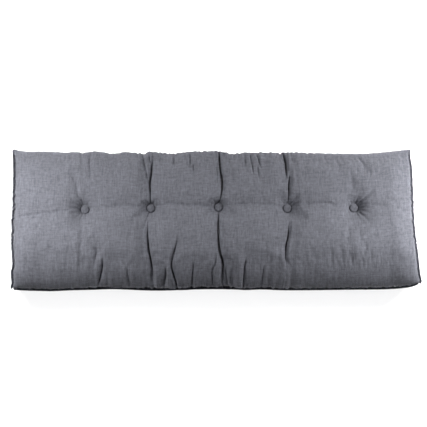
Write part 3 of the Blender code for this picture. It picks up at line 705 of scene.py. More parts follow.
def pit_depth(off_x, off_y, aim, reach, shape):
    """How deep one button pulls the cloth, round from its middle, with a wall on one side."""
    away = np.maximum(np.hypot(off_x, off_y) - shape.seat_radius, 0.0)
    turn = np.arctan2(off_y, off_x) - math.radians(aim)
    aside = (0.5 + 0.5 * np.cos(turn)) ** WALL_FOCUS
    slope = np.exp(-away / shape.pit_spread)
    wall = np.clip(1.0 - away / (reach * MM), 0.0, None) ** WALL_ROUNDING
    return shape.seat_depth * (slope + (wall - slope) * aside)


def seam_gathers(x, from_seam, seed, longest, shape):
    """Small uneven gathers that run in from a seam, deepest in the middle of the pillow."""
    random = np.random.default_rng(seed)
    depth = np.zeros(x.shape)
    place = -GATHER_END
    while place < GATHER_END:
        middle = plateau(place, GATHERED_MIDDLE, GATHERED_REACH)
        place += random.uniform(*GATHER_SPACING) / (END_CROWDING + MORE_CROWDING * middle)
        width = random.uniform(*GATHER_WIDTH)
        length = random.uniform(*GATHER_LENGTH) * longest * at_least(END_GATHER_LENGTH, middle)
        lean = random.uniform(*GATHER_LEAN)
        bend = random.uniform(*GATHER_BEND)
        size = random.uniform(*GATHER_SIZE) * at_least(END_GATHER_SIZE, middle)
        gap = np.abs(x - place - lean * from_seam - bend * from_seam**2)
        run_out = 1.0 - ease(from_seam / length)
        depth = np.maximum(depth, size * run_out * np.exp(-((gap / width) ** GATHER_SHARPNESS)))
    return depth * shape.gather_depth


def button_pleats(x, y, shape):
    """Sharp-floored pleats that run out from each button, where its thread gathers the cloth."""
    places = button_places()
    total = np.zeros(x.shape)
    for button, aim, reach, depth, spread in BUTTON_RAYS:
        button_x, button_y = places[button - 1]
        gap = np.hypot(x - button_x, y - button_y)
        angle = np.arctan2(y - button_y, x - button_x)
        off = np.abs(np.angle(np.exp(1j * (angle - math.radians(aim)))))
        run = np.clip((gap - shape.seat_radius) / (reach * MM - shape.seat_radius), 0.0, 1.0)
        swell = ease(run / PLEAT_RISE) * (1.0 - run) ** PLEAT_FADE
        across = off / (math.radians(PLEAT_WIDTH * spread) * (1.0 - PLEAT_NARROWING * run))
        valley = np.exp(-across) - PLEAT_LIP * bell(across - PLEAT_LIP_PLACE, PLEAT_LIP_WIDTH)
        total += depth * MM * shape.pleat_share * swell * valley
    return total


def lumps(x, y, size, seed):
    """Smooth noise from about -1 to 1 over the plan of the pillow."""
    values = [noise.noise(Vector((a / size, b / size, seed))) for a, b in zip(x.ravel(), y.ravel())]
    return np.array(values).reshape(x.shape)


def wrinkles(x, y, shape):
    """Soft wrinkles that run from seam to seam, where the cloth hangs between the folds."""
    broad, fine = (
        lumps(x, y / stretch, width, seed) for stretch, width, seed in (BROAD_WRINKLES, FINE_WRINKLES))
    middle = plateau(x, WRINKLED_MIDDLE, WRINKLED_REACH)
    low = ease((LOW_WRINKLES[0] - y) / LOW_WRINKLES[1])
    high = ease((y - HIGH_WRINKLES[0]) / HIGH_WRINKLES[1])
    beside_row = at_least(ROW_WRINKLES, np.maximum(low, HIGH_WRINKLE_SHARE * high))
    share = at_least(END_WRINKLES, middle) * beside_row
    return (broad + FINE_WRINKLE_SHARE * fine) * shape.wrinkle_depth * share


def plain_cover(grid):
    """The stuffed cover before anything presses it: x, y and z, stations by places."""
    x_share, ring = grid.x_share[:, None], grid.ring[:, None]
    panel, share = grid.panel[None, :], grid.share[None, :]
    nominal_x = x_share * LENGTH / 2
    to_end = LENGTH / 2 - np.abs(nominal_x)
    rolled = np.sin(math.pi / 2 * np.clip(to_end / END_ROLL, 0.0, 1.0)) ** END_ROUNDING
    fullness = at_least(END_FULLNESS, rolled)
    corner = 1.0 - ease(to_end / CORNER_REACH)

    top_y = read_line(TOP_OUTLINE, nominal_x)
    base_y = read_line(BASE_OUTLINE, nominal_x)
    front_z = FRONT_SEAM_Z + (FRONT_CORNER_Z - FRONT_SEAM_Z) * corner
    back_y = base_y + BACK_SEAM_INSET

    # Front panel: the straight line between its seams, plus the crown at right angles to it.
    chord_y, chord_z = base_y - top_y, front_z - TOP_SEAM_Z
    chord = np.hypot(chord_y, chord_z)
    rise = crown(share) * fullness
    front_y = top_y + chord_y * share + rise * chord_z / chord
    front_up = TOP_SEAM_Z + chord_z * share - rise * chord_y / chord
    # Base panel: bulges towards -Y between the front seam and the back seam.
    base_line = base_y + (back_y - base_y) * share - BASE_BULGE * fullness * np.sin(math.pi * share)
    base_up = front_z + (BACK_SEAM_Z - front_z) * share
    # Back panel: flat on the surface, and rounded up to its seams.
    back_line = back_y + (top_y - back_y) * share
    lift = BACK_SEAM_Z * np.clip(1.0 - (back_line - back_y) / BACK_ROLL, 0.0, None) ** 2
    lift = np.maximum(lift, TOP_SEAM_Z * np.clip(1.0 - (top_y - back_line) / BACK_ROLL, 0.0, None) ** 2)
    lift = np.maximum(lift, SIDE_SEAM_Z * np.clip(1.0 - to_end / BACK_ROLL, 0.0, None) ** 2)
    y = np.where(panel == 0, front_y, np.where(panel == 1, base_line, back_line))
    z = np.where(panel == 0, front_up, np.where(panel == 1, base_up, lift))

    # Gussets: rings that close in on the middle of the triangular end.
    middle_y, middle_z = GUSSET_MIDDLE
    rim = ring + (1.0 - ring) * bell(1.0 - ring, GUSSET_RIM)
    y = middle_y + (y - middle_y) * rim
    z = middle_z + (z - middle_z) * rim
    left, right = read_line(LEFT_OUTLINE, y), read_line(RIGHT_OUTLINE, y)
    x = left + (right - left) * (x_share + 1.0) / 2
    x = np.where(ring == 1.0, follow_guides(x, y, nominal_x), x)
    drawn_in = SIDE_INSET * bell(to_end, SIDE_INSET_REACH)
    beside_seam = 1.0 - np.exp(-(1.0 - ring) * GUSSET_RADIUS / SIDE_RIM_REACH)
    x = x + np.sign(x_share) * (beside_seam * (SIDE_INSET + SIDE_RIM) - drawn_in)
    return x, y, z


def section_directions(y, z):
    """Outward direction of each section of the cover, across the pillow."""
    along_y, along_z = np.gradient(y, axis=1), np.gradient(z, axis=1)
    length = np.maximum(np.hypot(along_y, along_z), 1e-9)
    out_y, out_z = along_z / length, -along_y / length
    middle_y, middle_z = GUSSET_MIDDLE
    outward = np.sign(out_y * (y - middle_y) + out_z * (z - middle_z))
    return out_y * outward, out_z * outward


def seam_distances(grid):
    """Distance of each point from the top, front and back seams, and from the side seams."""
    front, base, back = (grid.panel == k for k in range(3))
    top = np.where(front, grid.share * FRONT_WIDTH, np.where(back, (1 - grid.share) * BACK_WIDTH, 1.0))
    fore = np.where(front, (1 - grid.share) * FRONT_WIDTH, np.where(base, grid.share * BASE_WIDTH, 1.0))
    rear = np.where(base, (1 - grid.share) * BASE_WIDTH, np.where(back, grid.share * BACK_WIDTH, 1.0))
    to_end = LENGTH / 2 * (1.0 - np.abs(grid.x_share))
    side = np.where(grid.ring == 1.0, to_end, (1.0 - grid.ring) * GUSSET_RADIUS)
    return top[None, :], fore[None, :], rear[None, :], side[:, None]


def seam_hold(grid):
    """How much of their depth the seams leave to the folds, from SEAM_SHARE to 1."""
    top, fore, _, side = seam_distances(grid)
    return at_least(SEAM_SHARE, ease(np.minimum(top, fore) / SEAM_HOLD)) * ease(side / SEAM_HOLD)


def broad_press(grid, x, y, shape):
    """How far the buttons and the valleys of the folds press each point of the front in."""
    held = seam_hold(grid)
    valleys, slits, ridges = fold_depths(x, y, shape)
    return valleys * held, slits * held, ridges * held


def fine_press(grid, x, y, shape):
    """How far pleats, gathers, wrinkles and lumps press each point of the front in."""
    top, fore, _, side = seam_distances(grid)
    high = TOP_GATHER_SHARE * seam_gathers(x, top + 0.0 * x, *TOP_GATHERS, shape)
    low = BASE_GATHER_SHARE * seam_gathers(x, fore + 0.0 * x, *BASE_GATHERS, shape)
    away = np.ones(x.shape)
    for button_x, button_y in button_places():
        away *= ease((np.hypot(x - button_x, y - button_y) - BUTTON_CALM) / BUTTON_FREE)
    free = ease(np.minimum(np.minimum(top, fore), side) / LUMPS_FREE) * away
    pressed = button_pleats(x, y, shape) * seam_hold(grid) + np.maximum(high, low) * ease(side / GATHERS_FREE)
    pressed += wrinkles(x, y, shape) * ease(side / WRINKLES_FREE) * away
    lumpy = lumps(x, y, *BROAD_LUMPS) + FINE_LUMP_SHARE * lumps(x, y, *FINE_LUMPS)
    pressed += shape.lump_depth * lumpy * free
    return pressed


def press_front(grid, cover, pressed):
    """Moves the front panel in by so much: straight down, or square to the cloth near a seam."""
    x, y, z = cover
    out_y, out_z = section_directions(y, z)
    top, fore, _, _ = seam_distances(grid)
    near_seam = 1.0 - ease(np.minimum(top, fore) / SEAM_SLOPE)
    pressed = np.where(on_front(grid), pressed, 0.0)
    y = y - pressed * out_y * near_seam
    z = z - pressed * (near_seam * out_z + (1.0 - near_seam))
    return x, y, z


def on_front(grid):
    """Which points belong to the front panel."""
    return (grid.ring[:, None] == 1.0) & (grid.panel[None, :] == 0)


def pinch_long_seams(grid, cover, shape):
    """Draws the top, front and back seams in between their panels."""
    x, y, z = cover
    top, fore, rear, side = seam_distances(grid)
    body = grid.ring[:, None] == 1.0
    for distance, (inward, seed, width, share) in zip((top, fore, rear), SEAM_PINCHES):
        uneven = 1.0 + PINCH_UNEVENNESS * waves(x, SEAM_WAVES, seed)
        drawn = share * shape.seam_pinch * uneven * bell(distance, width)
        drawn = drawn * body * ease(side / PINCH_END)
        y = y + inward[0] * drawn
        z = z + inward[1] * drawn
    # Each gather of the top seam draws a small notch into the outline.
    notch = seam_gathers(x, 0.0 * x, *TOP_GATHERS, shape) / shape.gather_depth
    y = y - shape.notch_depth * notch * bell(top, NOTCH_REACH) * body
    # The base panel stands out again just below the front seam.
    lip = bell(fore - BASE_LIP_PLACE, BASE_LIP_REACH) * body * (grid.panel == 1)
    uneven = 1.0 + BASE_LIP_UNEVENNESS * waves(x, BASE_LIP_WAVES, BASE_LIP_SEED)
    y = y - BASE_LIP * lip * uneven * ease(side / BASE_LIP_END)
    return x, y, z


def left_or_right(end, y, wavelengths, seeds):
    """The waves of the left side seam at the left end, and of the right one at the right."""
    left, right = (waves(y, lengths, seed) for lengths, seed in zip(wavelengths, seeds))
    return np.where(end < 0, left, right)


def pucker_side_seams(grid, cover, shape):
    """Draws the side seams in as a groove that wavers, with small puckers beside it."""
    x, y, z = cover
    top, fore, _, side = seam_distances(grid)
    body = grid.ring[:, None] == 1.0
    end = np.sign(grid.x_share)[:, None]
    ripple = left_or_right(end, y, SIDE_WAVES, SIDE_SEEDS)
    gathers = left_or_right(end, y, PUCKER_WAVES, PUCKER_SEEDS)
    drawn = shape.side_pinch * (1.0 + SIDE_UNEVENNESS * ripple) * bell(side, SIDE_GROOVE)
    drawn = drawn * np.where(end < 0, *SIDE_SHARES)
    middle_y, middle_z = GUSSET_MIDDLE
    out_y, out_z = y - middle_y, z - middle_z
    far = np.maximum(np.hypot(out_y, out_z), 1e-6)
    x = x - SIDE_PULL * end * drawn
    # The groove is pressed straight down into the front, and along the gusset into the base.
    drawn = drawn * (grid.panel < 2) * ease((far - GUSSET_CALM) / GUSSET_FREE)
    down = ease(np.minimum(top, fore) / CORNER_TURN) * (grid.panel == 0)
    y = y - drawn * (1.0 - down) * out_y / far
    z = z - drawn * ((1.0 - down) * out_z / far + down)
    along_side = at_least(PUCKERED_ENDS, plateau(y, PUCKERED_MIDDLE, PUCKERED_REACH))
    swing = SWING + SEAM_SWING * bell(side, SEAM_SWING_REACH)
    x = x + end * along_side * ripple * swing * bell(side, SWING_REACH)
    pucker = PUCKER * along_side * gathers * ease(side / PUCKER_START) * bell(side, PUCKER_REACH)
    x = x + end * np.where(body, FRONT_PUCKER * pucker, pucker)
    z = z + np.where(grid.panel == 0, pucker, 0.0)
    return x, y, z


def seat_buttons(grid, cover, shape):
    """Lays the cloth flat under each button, just below it."""
    x, y, z = cover
    for node, (button_x, button_y) in zip(BUTTON_NODES, button_places()):
        gap = np.hypot(x - button_x, y - button_y)
        seat = 1.0 - ease((gap - shape.seat_radius) / (shape.seat_rim - shape.seat_radius))
        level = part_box(node)[0].z - BUTTON_GAP
        z = np.where(on_front(grid), z + (level - z) * seat, z)
    return x, y, z


def tufted_cover(grid, shape):
    """The stuffed cover pressed in by its buttons and the valleys of its folds."""
    cover = plain_cover(grid)
    valleys, _, _ = broad_press(grid, cover[0], cover[1], shape)
    return seat_buttons(grid, press_front(grid, cover, valleys), shape)


def hold_weights(grid, cover, shape):
    """How firmly each point stays put while the cloth settles: 1 is fixed."""
    x, y, _ = cover
    top, fore, _, side = seam_distances(grid)
    loose = ease(top / LOOSE_TOP) * ease(fore / LOOSE_FRONT) * ease(side / LOOSE_SIDE)
    for button_x, button_y in button_places():
        loose = loose * ease((np.hypot(x - button_x, y - button_y) - shape.seat_rim) / LOOSE_BUTTON)
    _, slits, _ = broad_press(grid, x, y, shape)
    loose = loose * (1.0 - ease(slits / LOOSE_SLIT))
    return np.where(on_front(grid), 1.0 - loose, 1.0)


def settled_moves(context, shape):
    """How the cover moves as its filling presses it out and its loose cloth wrinkles.

    A coarser cover is simulated as cloth. The answer is its grid, and the moves of its points.
    """
    grid = CoverGrid(shape.settle_spacing, shape.settle_spacing, plain=True)
    cover = tufted_cover(grid, shape)
    start = np.stack(cover, axis=-1)
    mesh, station, place = cover_mesh(start)
    body = bpy.data.objects.new("settling_cover", mesh)
    context.scene.collection.objects.link(body)
    held = body.vertex_groups.new(name="held")
    weights = np.rint(hold_weights(grid, cover, shape)[station, place] * HOLD_STEPS).astype(int)
    for step in range(1, HOLD_STEPS + 1):
        held.add(np.flatnonzero(weights == step).tolist(), step / HOLD_STEPS, "REPLACE")

    modifier = body.modifiers.new("cloth", "CLOTH")
    cloth = modifier.settings
    cloth.quality = 6
    cloth.mass = 0.15
    cloth.tension_stiffness = cloth.compression_stiffness = 12.0
    cloth.shear_stiffness = 6.0
    cloth.bending_stiffness = 1.0
    cloth.use_pressure = True
    cloth.uniform_pressure_force = shape.settle_pressure
    cloth.shrink_min = -shape.settle_looseness
    cloth.effector_weights.gravity = 0.0
    cloth.vertex_group_mass = "held"
    cloth.pin_stiffness = 4.0
    modifier.collision_settings.use_collision = False
    modifier.collision_settings.use_self_collision = False
    modifier.point_cache.frame_start, modifier.point_cache.frame_end = 1, SETTLE_FRAMES
    for step in range(1, SETTLE_FRAMES + 1):
        context.scene.frame_set(step)
    settled = body.evaluated_get(context.evaluated_depsgraph_get()).to_mesh()
    spots = np.empty(3 * len(settled.vertices))
    settled.vertices.foreach_get("co", spots)
    body.to_mesh_clear()
    bpy.data.objects.remove(body)
    context.scene.frame_set(1)

    moves = np.zeros(start.shape)
    moves[station, place] = spots.reshape(-1, 3) - start[station, place]
    length = np.linalg.norm(moves, axis=-1, keepdims=True)
    moves *= np.minimum(1.0, shape.settle_reach / np.maximum(length, 1e-9))
    return grid, moves


def read_moves(moves, coarse, fine):
    """The moves of a coarse grid's points, read smoothly at the points of a finer grid."""
    rows = len(fine.x_share)
    along = np.empty((rows, moves.shape[1], 3))
    for axis in range(3):
        for place in range(moves.shape[1]):
            values = moves[::-1, place, axis]
            along[:, place, axis] = spline(fine.along()[::-1], coarse.along()[::-1], values)[::-1]
    read = np.empty((rows, len(fine.share), 3))
    marks = np.append(coarse.around(), 3.0)
    for axis in range(3):
        for row in range(rows):
            values = along[row, :, axis]
            read[row, :, axis] = spline(fine.around(), marks, np.append(values, values[0]))
    return read


def spline(at, marks, values):
    """A smooth curve through values at rising marks, read at other places."""
    slopes = np.gradient(values, marks)
    low = np.clip(np.searchsorted(marks, at, side="right") - 1, 0, len(marks) - 2)
    width = marks[low + 1] - marks[low]
    t = (at - marks[low]) / width
    a, b = values[low], values[low + 1]
    c, d = slopes[low] * width, slopes[low + 1] * width
    return a + t * c + t**2 * (3 * (b - a) - 2 * c - d) + t**3 * (2 * (a - b) + c + d)


def cover_points(context, grid, shape):
    """The finished cover: an array of points, stations by places by three."""
    x, y, z = tufted_cover(grid, shape)
    plan_x, plan_y = x, y
    coarse, moves = settled_moves(context, shape)
    moves = np.where(on_front(grid)[..., None], read_moves(moves, coarse, grid), 0.0)
    x, y, z = x + moves[..., 0], y + moves[..., 1], z + moves[..., 2]
    _, slits, ridges = broad_press(grid, plan_x, plan_y, shape)
    cover = press_front(grid, (x, y, z), slits - ridges + fine_press(grid, plan_x, plan_y, shape))
    cover = pucker_side_seams(grid, pinch_long_seams(grid, cover, shape), shape)
    cover = seat_buttons(grid, cover, shape)
    shift_x, shift_y = frame_shift()
    return np.stack((cover[0] + shift_x, cover[1] + shift_y, np.maximum(cover[2], 0.0)), axis=-1)


def cover_mesh(points):
    """A closed mesh over the points: its mesh, and the station and place of each vertex."""
    stations, places = points.shape[:2]
    rows = np.arange(1, stations - 1)
    station = np.concatenate(([0], np.repeat(rows, places), [stations - 1]))
    place = np.concatenate(([0], np.tile(np.arange(places), len(rows)), [0]))
    here = 1 + np.arange(len(rows) * places).reshape(len(rows), places)
    beside = np.roll(here, -1, axis=1)
    sides = np.stack((here[:-1], here[1:], beside[1:], beside[:-1]), axis=-1).reshape(-1, 4)
    last = len(station) - 1
    right_end = np.stack((np.zeros(places, int), here[0], beside[0]), axis=-1)
    left_end = np.stack((np.full(places, last), beside[-1], here[-1]), axis=-1)
    mesh = bpy.data.meshes.new("cushion_cover")
    faces = sides.tolist() + right_end.tolist() + left_end.tolist()
    mesh.from_pydata(points[station, place].tolist(), [], faces)
    mesh.update()
    return mesh, station, place


def lay_weave(mesh, grid, station, place):
    """A UV map in metres that follows the threads of each panel."""
    loops, faces = len(mesh.loops), len(mesh.polygons)
    corner = np.empty(loops, int)
    mesh.loops.foreach_get("vertex_index", corner)
    sizes = np.empty(faces, int)
    mesh.polygons.foreach_get("loop_total", sizes)
    face = np.repeat(np.arange(faces), sizes)
    spot = np.empty(3 * len(mesh.vertices))
    mesh.vertices.foreach_get("co", spot)
    spot = spot.reshape(-1, 3)[corner]

    count = len(grid.share)
    at = place[corner]
    low, high = np.full(faces, count), np.zeros(faces, int)
    np.minimum.at(low, face, at)
    np.maximum.at(high, face, at)
    wraps = (high - low > count // 2)[face] & (at == 0)
    at = np.where(wraps, count, at)
    low = np.full(faces, count)
    np.minimum.at(low, face, at)
    panel = grid.panel[np.minimum(low, count - 1)][face]
    share = np.append(grid.share, 1.0)[at]
    share = np.where(np.append(grid.panel, 3)[at] == panel, share, 1.0)

    steps = np.linspace(0.0, 1.0, ARC_STEPS)
    arc = np.concatenate(([0.0], np.cumsum(np.hypot(np.diff(steps) * FRONT_WIDTH, np.diff(crown(steps))))))
    widths = np.array((arc[-1], BASE_WIDTH, BACK_WIDTH))
    starts = np.concatenate(([0.0], np.cumsum(widths)))[:3] + PANEL_GAP * np.arange(3)
    v = starts[panel] + np.where(panel == 0, np.interp(share, steps, arc), share * widths[panel])
    u = spot[:, 0]
    rings = np.ones(faces)
    np.minimum.at(rings, face, grid.ring[station][corner])
    gusset = rings[face] < 1.0
    u = np.where(gusset, spot[:, 1], u)
    v = np.where(gusset, spot[:, 2] + GUSSET_PLACE, v)
    layer = mesh.uv_layers.new(name="weave")
    layer.data.foreach_set("uv", np.stack((u, v), axis=-1).ravel())


class Wire:
    """A node's output that can be reckoned with like a number. Each sum adds a Math node."""

    def __init__(self, socket):
        self.socket = socket
        self.tree = socket.id_data

    def __add__(self, other):
        return calc("ADD", self, other)

    def __sub__(self, other):
        return calc("SUBTRACT", self, other)

    def __rsub__(self, other):
        return calc("SUBTRACT", other, self)

    def __mul__(self, other):
        return calc("MULTIPLY", self, other)

    def __truediv__(self, other):
        return calc("DIVIDE", self, other)


def plug(socket, value):
    """Sets a node's input from a wire, or to a plain value."""
    if isinstance(value, Wire):
        value.tree.links.new(value.socket, socket)
    else:
        socket.default_value = value


def node_on(kind, values):
    """A new node beside the first wire among the values, which fill its inputs in order."""
    tree = next(value.tree for value in values if isinstance(value, Wire))
    node = tree.nodes.new(kind)
    for socket, value in zip(node.inputs, values):
        plug(socket, value)
    return node


def calc(operation, *values):
    """A Math node on wires or numbers; returns its output."""
    node = node_on("ShaderNodeMath", values)
    node.operation = operation
    return Wire(node.outputs[0])


def joined(*values):
    """A vector of two or three wires or numbers; returns its output."""
    return Wire(node_on("ShaderNodeCombineXYZ", values).outputs[0])


def split(vector):
    """The X, Y and Z of a vector."""
    return [Wire(socket) for socket in node_on("ShaderNodeSeparateXYZ", (vector,)).outputs]


def mixed(data_type, factor, first, second):
    """A Mix node on wires, numbers or colours; returns its output."""
    node = factor.tree.nodes.new("ShaderNodeMix")
    node.data_type = data_type
    ends = [socket for socket in node.inputs if socket.enabled]
    for socket, value in zip(ends, (factor, first, second)):
        plug(socket, value)
    return Wire(next(socket for socket in node.outputs if socket.enabled))


def noise_at(vector, scale, detail, dimensions="2D"):
    """Smooth noise at a vector; returns its output, from 0 to 1."""
    node = vector.tree.nodes.new("ShaderNodeTexNoise")
    node.noise_dimensions = dimensions
    for label, value in (("Scale", scale), ("Detail", detail), ("Vector", vector)):
        plug(node.inputs[label], value)
    return Wire(node.outputs["Fac"])


def woven_cloth(name, cloth, lightness):
    """Plain weave of uneven yarns, lying along the piece's own weave map. Its colours are scaled by the
    lightness: below 1 that paints shade into a darker copy of the cloth.
    """
    material = bpy.data.materials.new(name)
    material.use_nodes = True
    tree = material.node_tree
    shader = tree.nodes["Principled BSDF"]
    shader.inputs["Roughness"].default_value = 0.9
    shader.inputs["Specular IOR Level"].default_value = 0.25
    shader.inputs["Sheen Weight"].default_value = 0.12
    shader.inputs["Sheen Roughness"].default_value = 0.45

    weave = tree.nodes.new("ShaderNodeUVMap")
    weave.uv_map = "weave"
    place = Wire(weave.outputs["UV"])
    across, along, _ = split(place)
    a, b = across / cloth.thread_pitch, along / cloth.thread_pitch
    row_a, row_b = calc("FLOOR", a), calc("FLOOR", b)
    round_a, round_b = (calc("SINE", calc("FRACT", thread) * math.pi) for thread in (a, b))
    over = calc("PINGPONG", row_a + row_b, 1.0)
    # A yarn is highest along its middle, and dips where the yarns beside it cross over.
    warp_up = round_a * (round_b * YARN_SIDE + (1.0 - YARN_SIDE))
    weft_up = round_b * (round_a * YARN_SIDE + (1.0 - YARN_SIDE))
    relief = mixed("FLOAT", over, weft_up, warp_up)

    # Each thread is lighter or darker than its neighbours, and changes along its length.
    warp_yarn = noise_at(joined(row_a * YARN_APART, along / YARN_RUN), 1.0, 1.0)
    weft_yarn = noise_at(joined(across / YARN_RUN, row_b * YARN_APART), 1.0, 1.0)
    yarn = mixed("FLOAT", over, weft_yarn, warp_yarn)
    cloud = noise_at(place, CLOUD_SCALE, CLOUD_DETAIL)
    warp, weft = ((*[c * lightness for c in dye], 1.0) for dye in (cloth.warp_colour, cloth.weft_colour))
    spread = (yarn - 0.5) * (YARN_SPREAD * cloth.unevenness) + (cloud - 0.5) * CLOUD_SPREAD
    # Yarn tone is the cloth's own; the relief term paints shade into the low parts of the weave and light
    # onto the yarn tops.
    yarn_tone_and_painted_shade = spread + (relief - RELIEF_MIDDLE) * RELIEF_PAINTED_SHADE
    scale = tree.nodes.new("ShaderNodeVectorMath")
    scale.operation = "SCALE"
    plug(scale.inputs[0], mixed("RGBA", over, weft, warp))
    plug(scale.inputs["Scale"], calc("MAXIMUM", yarn_tone_and_painted_shade + 1.0, DARKEST))
    plug(shader.inputs["Base Color"], Wire(scale.outputs[0]))

    bump = tree.nodes.new("ShaderNodeBump")
    bump.inputs["Strength"].default_value = 0.7
    bump.inputs["Distance"].default_value = cloth.thread_relief
    plug(bump.inputs["Height"], relief)
    plug(shader.inputs["Normal"], Wire(bump.outputs["Normal"]))
    return material


class PILLOW_OT_cushion(bpy.types.Operator):
    """Make the stuffed cover: front, base, back and gussets, tufted and creased"""

    bl_idname = "pillow.make_cushion"
    bl_label = "Make the cushion"

    def execute(self, context):
        """Lay the mesh, press it in, dress it in cloth and hand it to the frame"""
        shape, cloth = context.scene.pillow_shape, context.scene.pillow_cloth
        grid = CoverGrid(shape.mesh_along, shape.mesh_around)
        points = cover_points(context, grid, shape)
        mesh, station, place = cover_mesh(points)
        lay_weave(mesh, grid, station, place)
        mesh.shade_smooth()
        mesh.materials.append(woven_cloth("cushion_linen", cloth, 1.0))
        cushion = bpy.data.objects.new("cushion_cover", mesh)
        context.scene.collection.objects.link(cushion)
        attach(cushion, "root")
        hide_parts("cushion")
        return {"FINISHED"}


def button_tree():
    """Geometry nodes of a covered button: a flattened dome with the cloth gathered under it."""
    tree = bpy.data.node_groups.new("covered_button", "GeometryNodeTree")
    face = tree.interface
    for name, kind, default in (
        ("Radius", "NodeSocketFloat", 0.0148), ("Height", "NodeSocketFloat", 0.009),
        ("Rim Height", "NodeSocketFloat", 0.0034), ("Gather Depth", "NodeSocketFloat", 0.0005),
        ("Turn", "NodeSocketFloat", 0.0), ("Seed", "NodeSocketFloat", 0.0),
    ):
        face.new_socket(name=name, in_out="INPUT", socket_type=kind).default_value = default
    face.new_socket(name="Place", in_out="INPUT", socket_type="NodeSocketVector")
    face.new_socket(name="Cloth", in_out="INPUT", socket_type="NodeSocketMaterial")
    face.new_socket(name="Geometry", in_out="OUTPUT", socket_type="NodeSocketGeometry")
    nodes = tree.nodes
    given = {socket.name: Wire(socket) for socket in nodes.new("NodeGroupInput").outputs}

    ball = nodes.new("GeometryNodeMeshUVSphere")
    ball.inputs["Segments"].default_value = 96
    ball.inputs["Rings"].default_value = 40
    ball.inputs["Radius"].default_value = 1.0
    px, py, pz = split(Wire(nodes.new("GeometryNodeInputPosition").outputs[0]))

    # The top half is a dome and the bottom half curls under to a flat back.
    flat = calc("POWER", calc("MAXIMUM", pz, 0.0), DOME_FLATNESS)
    dome = (given["Height"] - given["Rim Height"]) * flat
    under = given["Rim Height"] * CURL * pz
    upper = calc("GREATER_THAN", pz, 0.0)
    rise = calc("MAXIMUM", given["Rim Height"] + mixed("FLOAT", upper, under, dome), 0.0)

    # Gathers round the rim, where the cloth is drawn to the back.
    rim = calc("MAXIMUM", 1.0 - calc("ABSOLUTE", pz + RIM_DROP) - RIM_BAND, 0.0)
    across = calc("MAXIMUM", calc("SQRT", px * px + py * py), 0.001)
    around = joined(px / across, py / across, given["Seed"])
    fold = (noise_at(around, BUTTON_GATHERS, 1.0, "3D") - 0.5) * rim
    size = given["Radius"] + fold * given["Gather Depth"] - given["Gather Depth"] * 0.5
    shaped = nodes.new("GeometryNodeSetPosition")
    plug(shaped.inputs["Position"], joined(px * size, py * size, rise))

    # The weave map is laid before the button is turned, so its threads turn with it.
    weave = nodes.new("GeometryNodeStoreNamedAttribute")
    weave.data_type = "FLOAT2"
    weave.domain = "CORNER"
    weave.inputs["Name"].default_value = "weave"
    value = next(s for s in weave.inputs if s.name == "Value" and s.enabled)
    plug(value, Wire(nodes.new("GeometryNodeInputPosition").outputs[0]))

    seated = nodes.new("GeometryNodeTransform")
    plug(seated.inputs["Rotation"], joined(0.0, 0.0, given["Turn"]))
    plug(seated.inputs["Translation"], given["Place"])
    smooth = nodes.new("GeometryNodeSetShadeSmooth")
    real = nodes.new("GeometryNodeRealizeInstances")
    dressed = nodes.new("GeometryNodeSetMaterial")
    plug(dressed.inputs["Material"], given["Cloth"])
    flow = Wire(ball.outputs["Mesh"])
    for step in (shaped, weave, seated, smooth, real, dressed):
        plug(step.inputs["Geometry"], flow)
        flow = Wire(step.outputs["Geometry"])
    plug(nodes.new("NodeGroupOutput").inputs[0], flow)
    return tree


def grow(context, name, tree, values):
    """A plain mesh object from a geometry node tree and the values of its named inputs."""
    maker = bpy.data.objects.new(name + "_maker", bpy.data.meshes.new(name + "_maker"))
    context.scene.collection.objects.link(maker)
    modifier = maker.modifiers.new("grow", "NODES")
    modifier.node_group = tree
    sockets = {item.name: item.identifier for item in tree.interface.items_tree if item.in_out == "INPUT"}
    for label, value in values.items():
        modifier[sockets[label]] = value
    context.view_layer.update()
    mesh = bpy.data.meshes.new_from_object(maker.evaluated_get(context.evaluated_depsgraph_get()))
    mesh.name = name
    bpy.data.objects.remove(maker)
    piece = bpy.data.objects.new(name, mesh)
    context.scene.collection.objects.link(piece)
    return piece


class PILLOW_OT_buttons(bpy.types.Operator):
    """Make the five covered buttons on their seats"""

    bl_idname = "pillow.make_buttons"
    bl_label = "Make the buttons"

    def execute(self, context):
        """Grow a button at each button node of the frame"""
        if len(BUTTON_NODES) != len(BUTTON_PLACES):
            raise RuntimeError(f"the frame has {len(BUTTON_NODES)} buttons, not {len(BUTTON_PLACES)}")
        tree = button_tree()
        # The button cloth is the cushion's cloth painted darker: painted shade.
        cloth = woven_cloth("button_linen_painted_shade", context.scene.pillow_cloth, BUTTON_PAINTED_SHADE)
        random = np.random.default_rng(BUTTON_TURN_SEED)
        turns = random.uniform(-BUTTON_TURN, BUTTON_TURN, len(BUTTON_NODES))
        for k, node in enumerate(BUTTON_NODES):
            low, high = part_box(node)
            middle = ((low.x + high.x) / 2, (low.y + high.y) / 2, low.z)
            button = grow(context, "covered_" + node, tree, {
                "Radius": (high.x - low.x) / 2,
                "Height": high.z - low.z,
                "Turn": float(turns[k]),
                "Seed": BUTTON_SEED_STEP * k,
                "Place": middle,
                "Cloth": cloth,
            })
            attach(button, "root")
            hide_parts(node)
        return {"FINISHED"}


def plain_material(name, colour, roughness):
    """One colour all over, for the studio floor."""
    material = bpy.data.materials.new(name)
    material.use_nodes = True
    shader = material.node_tree.nodes["Principled BSDF"]
    shader.inputs["Base Color"].default_value = (*colour, 1.0)
    shader.inputs["Roughness"].default_value = roughness
    return material


def soft_lamp(context, name, place, target, size, power, spread=180):
    """An area lamp of a width and height in metres, aimed at a target, spread in degrees."""
    data = bpy.data.lights.new(name, "AREA")
    data.shape = "RECTANGLE"
    data.size, data.size_y = size
    data.energy = power
    data.spread = math.radians(spread)
    lamp = bpy.data.objects.new(name, data)
    context.scene.collection.objects.link(lamp)
    lamp.location = place
    lamp.rotation_euler = (Vector(target) - Vector(place)).to_track_quat("-Z", "Y").to_euler()
    return lamp


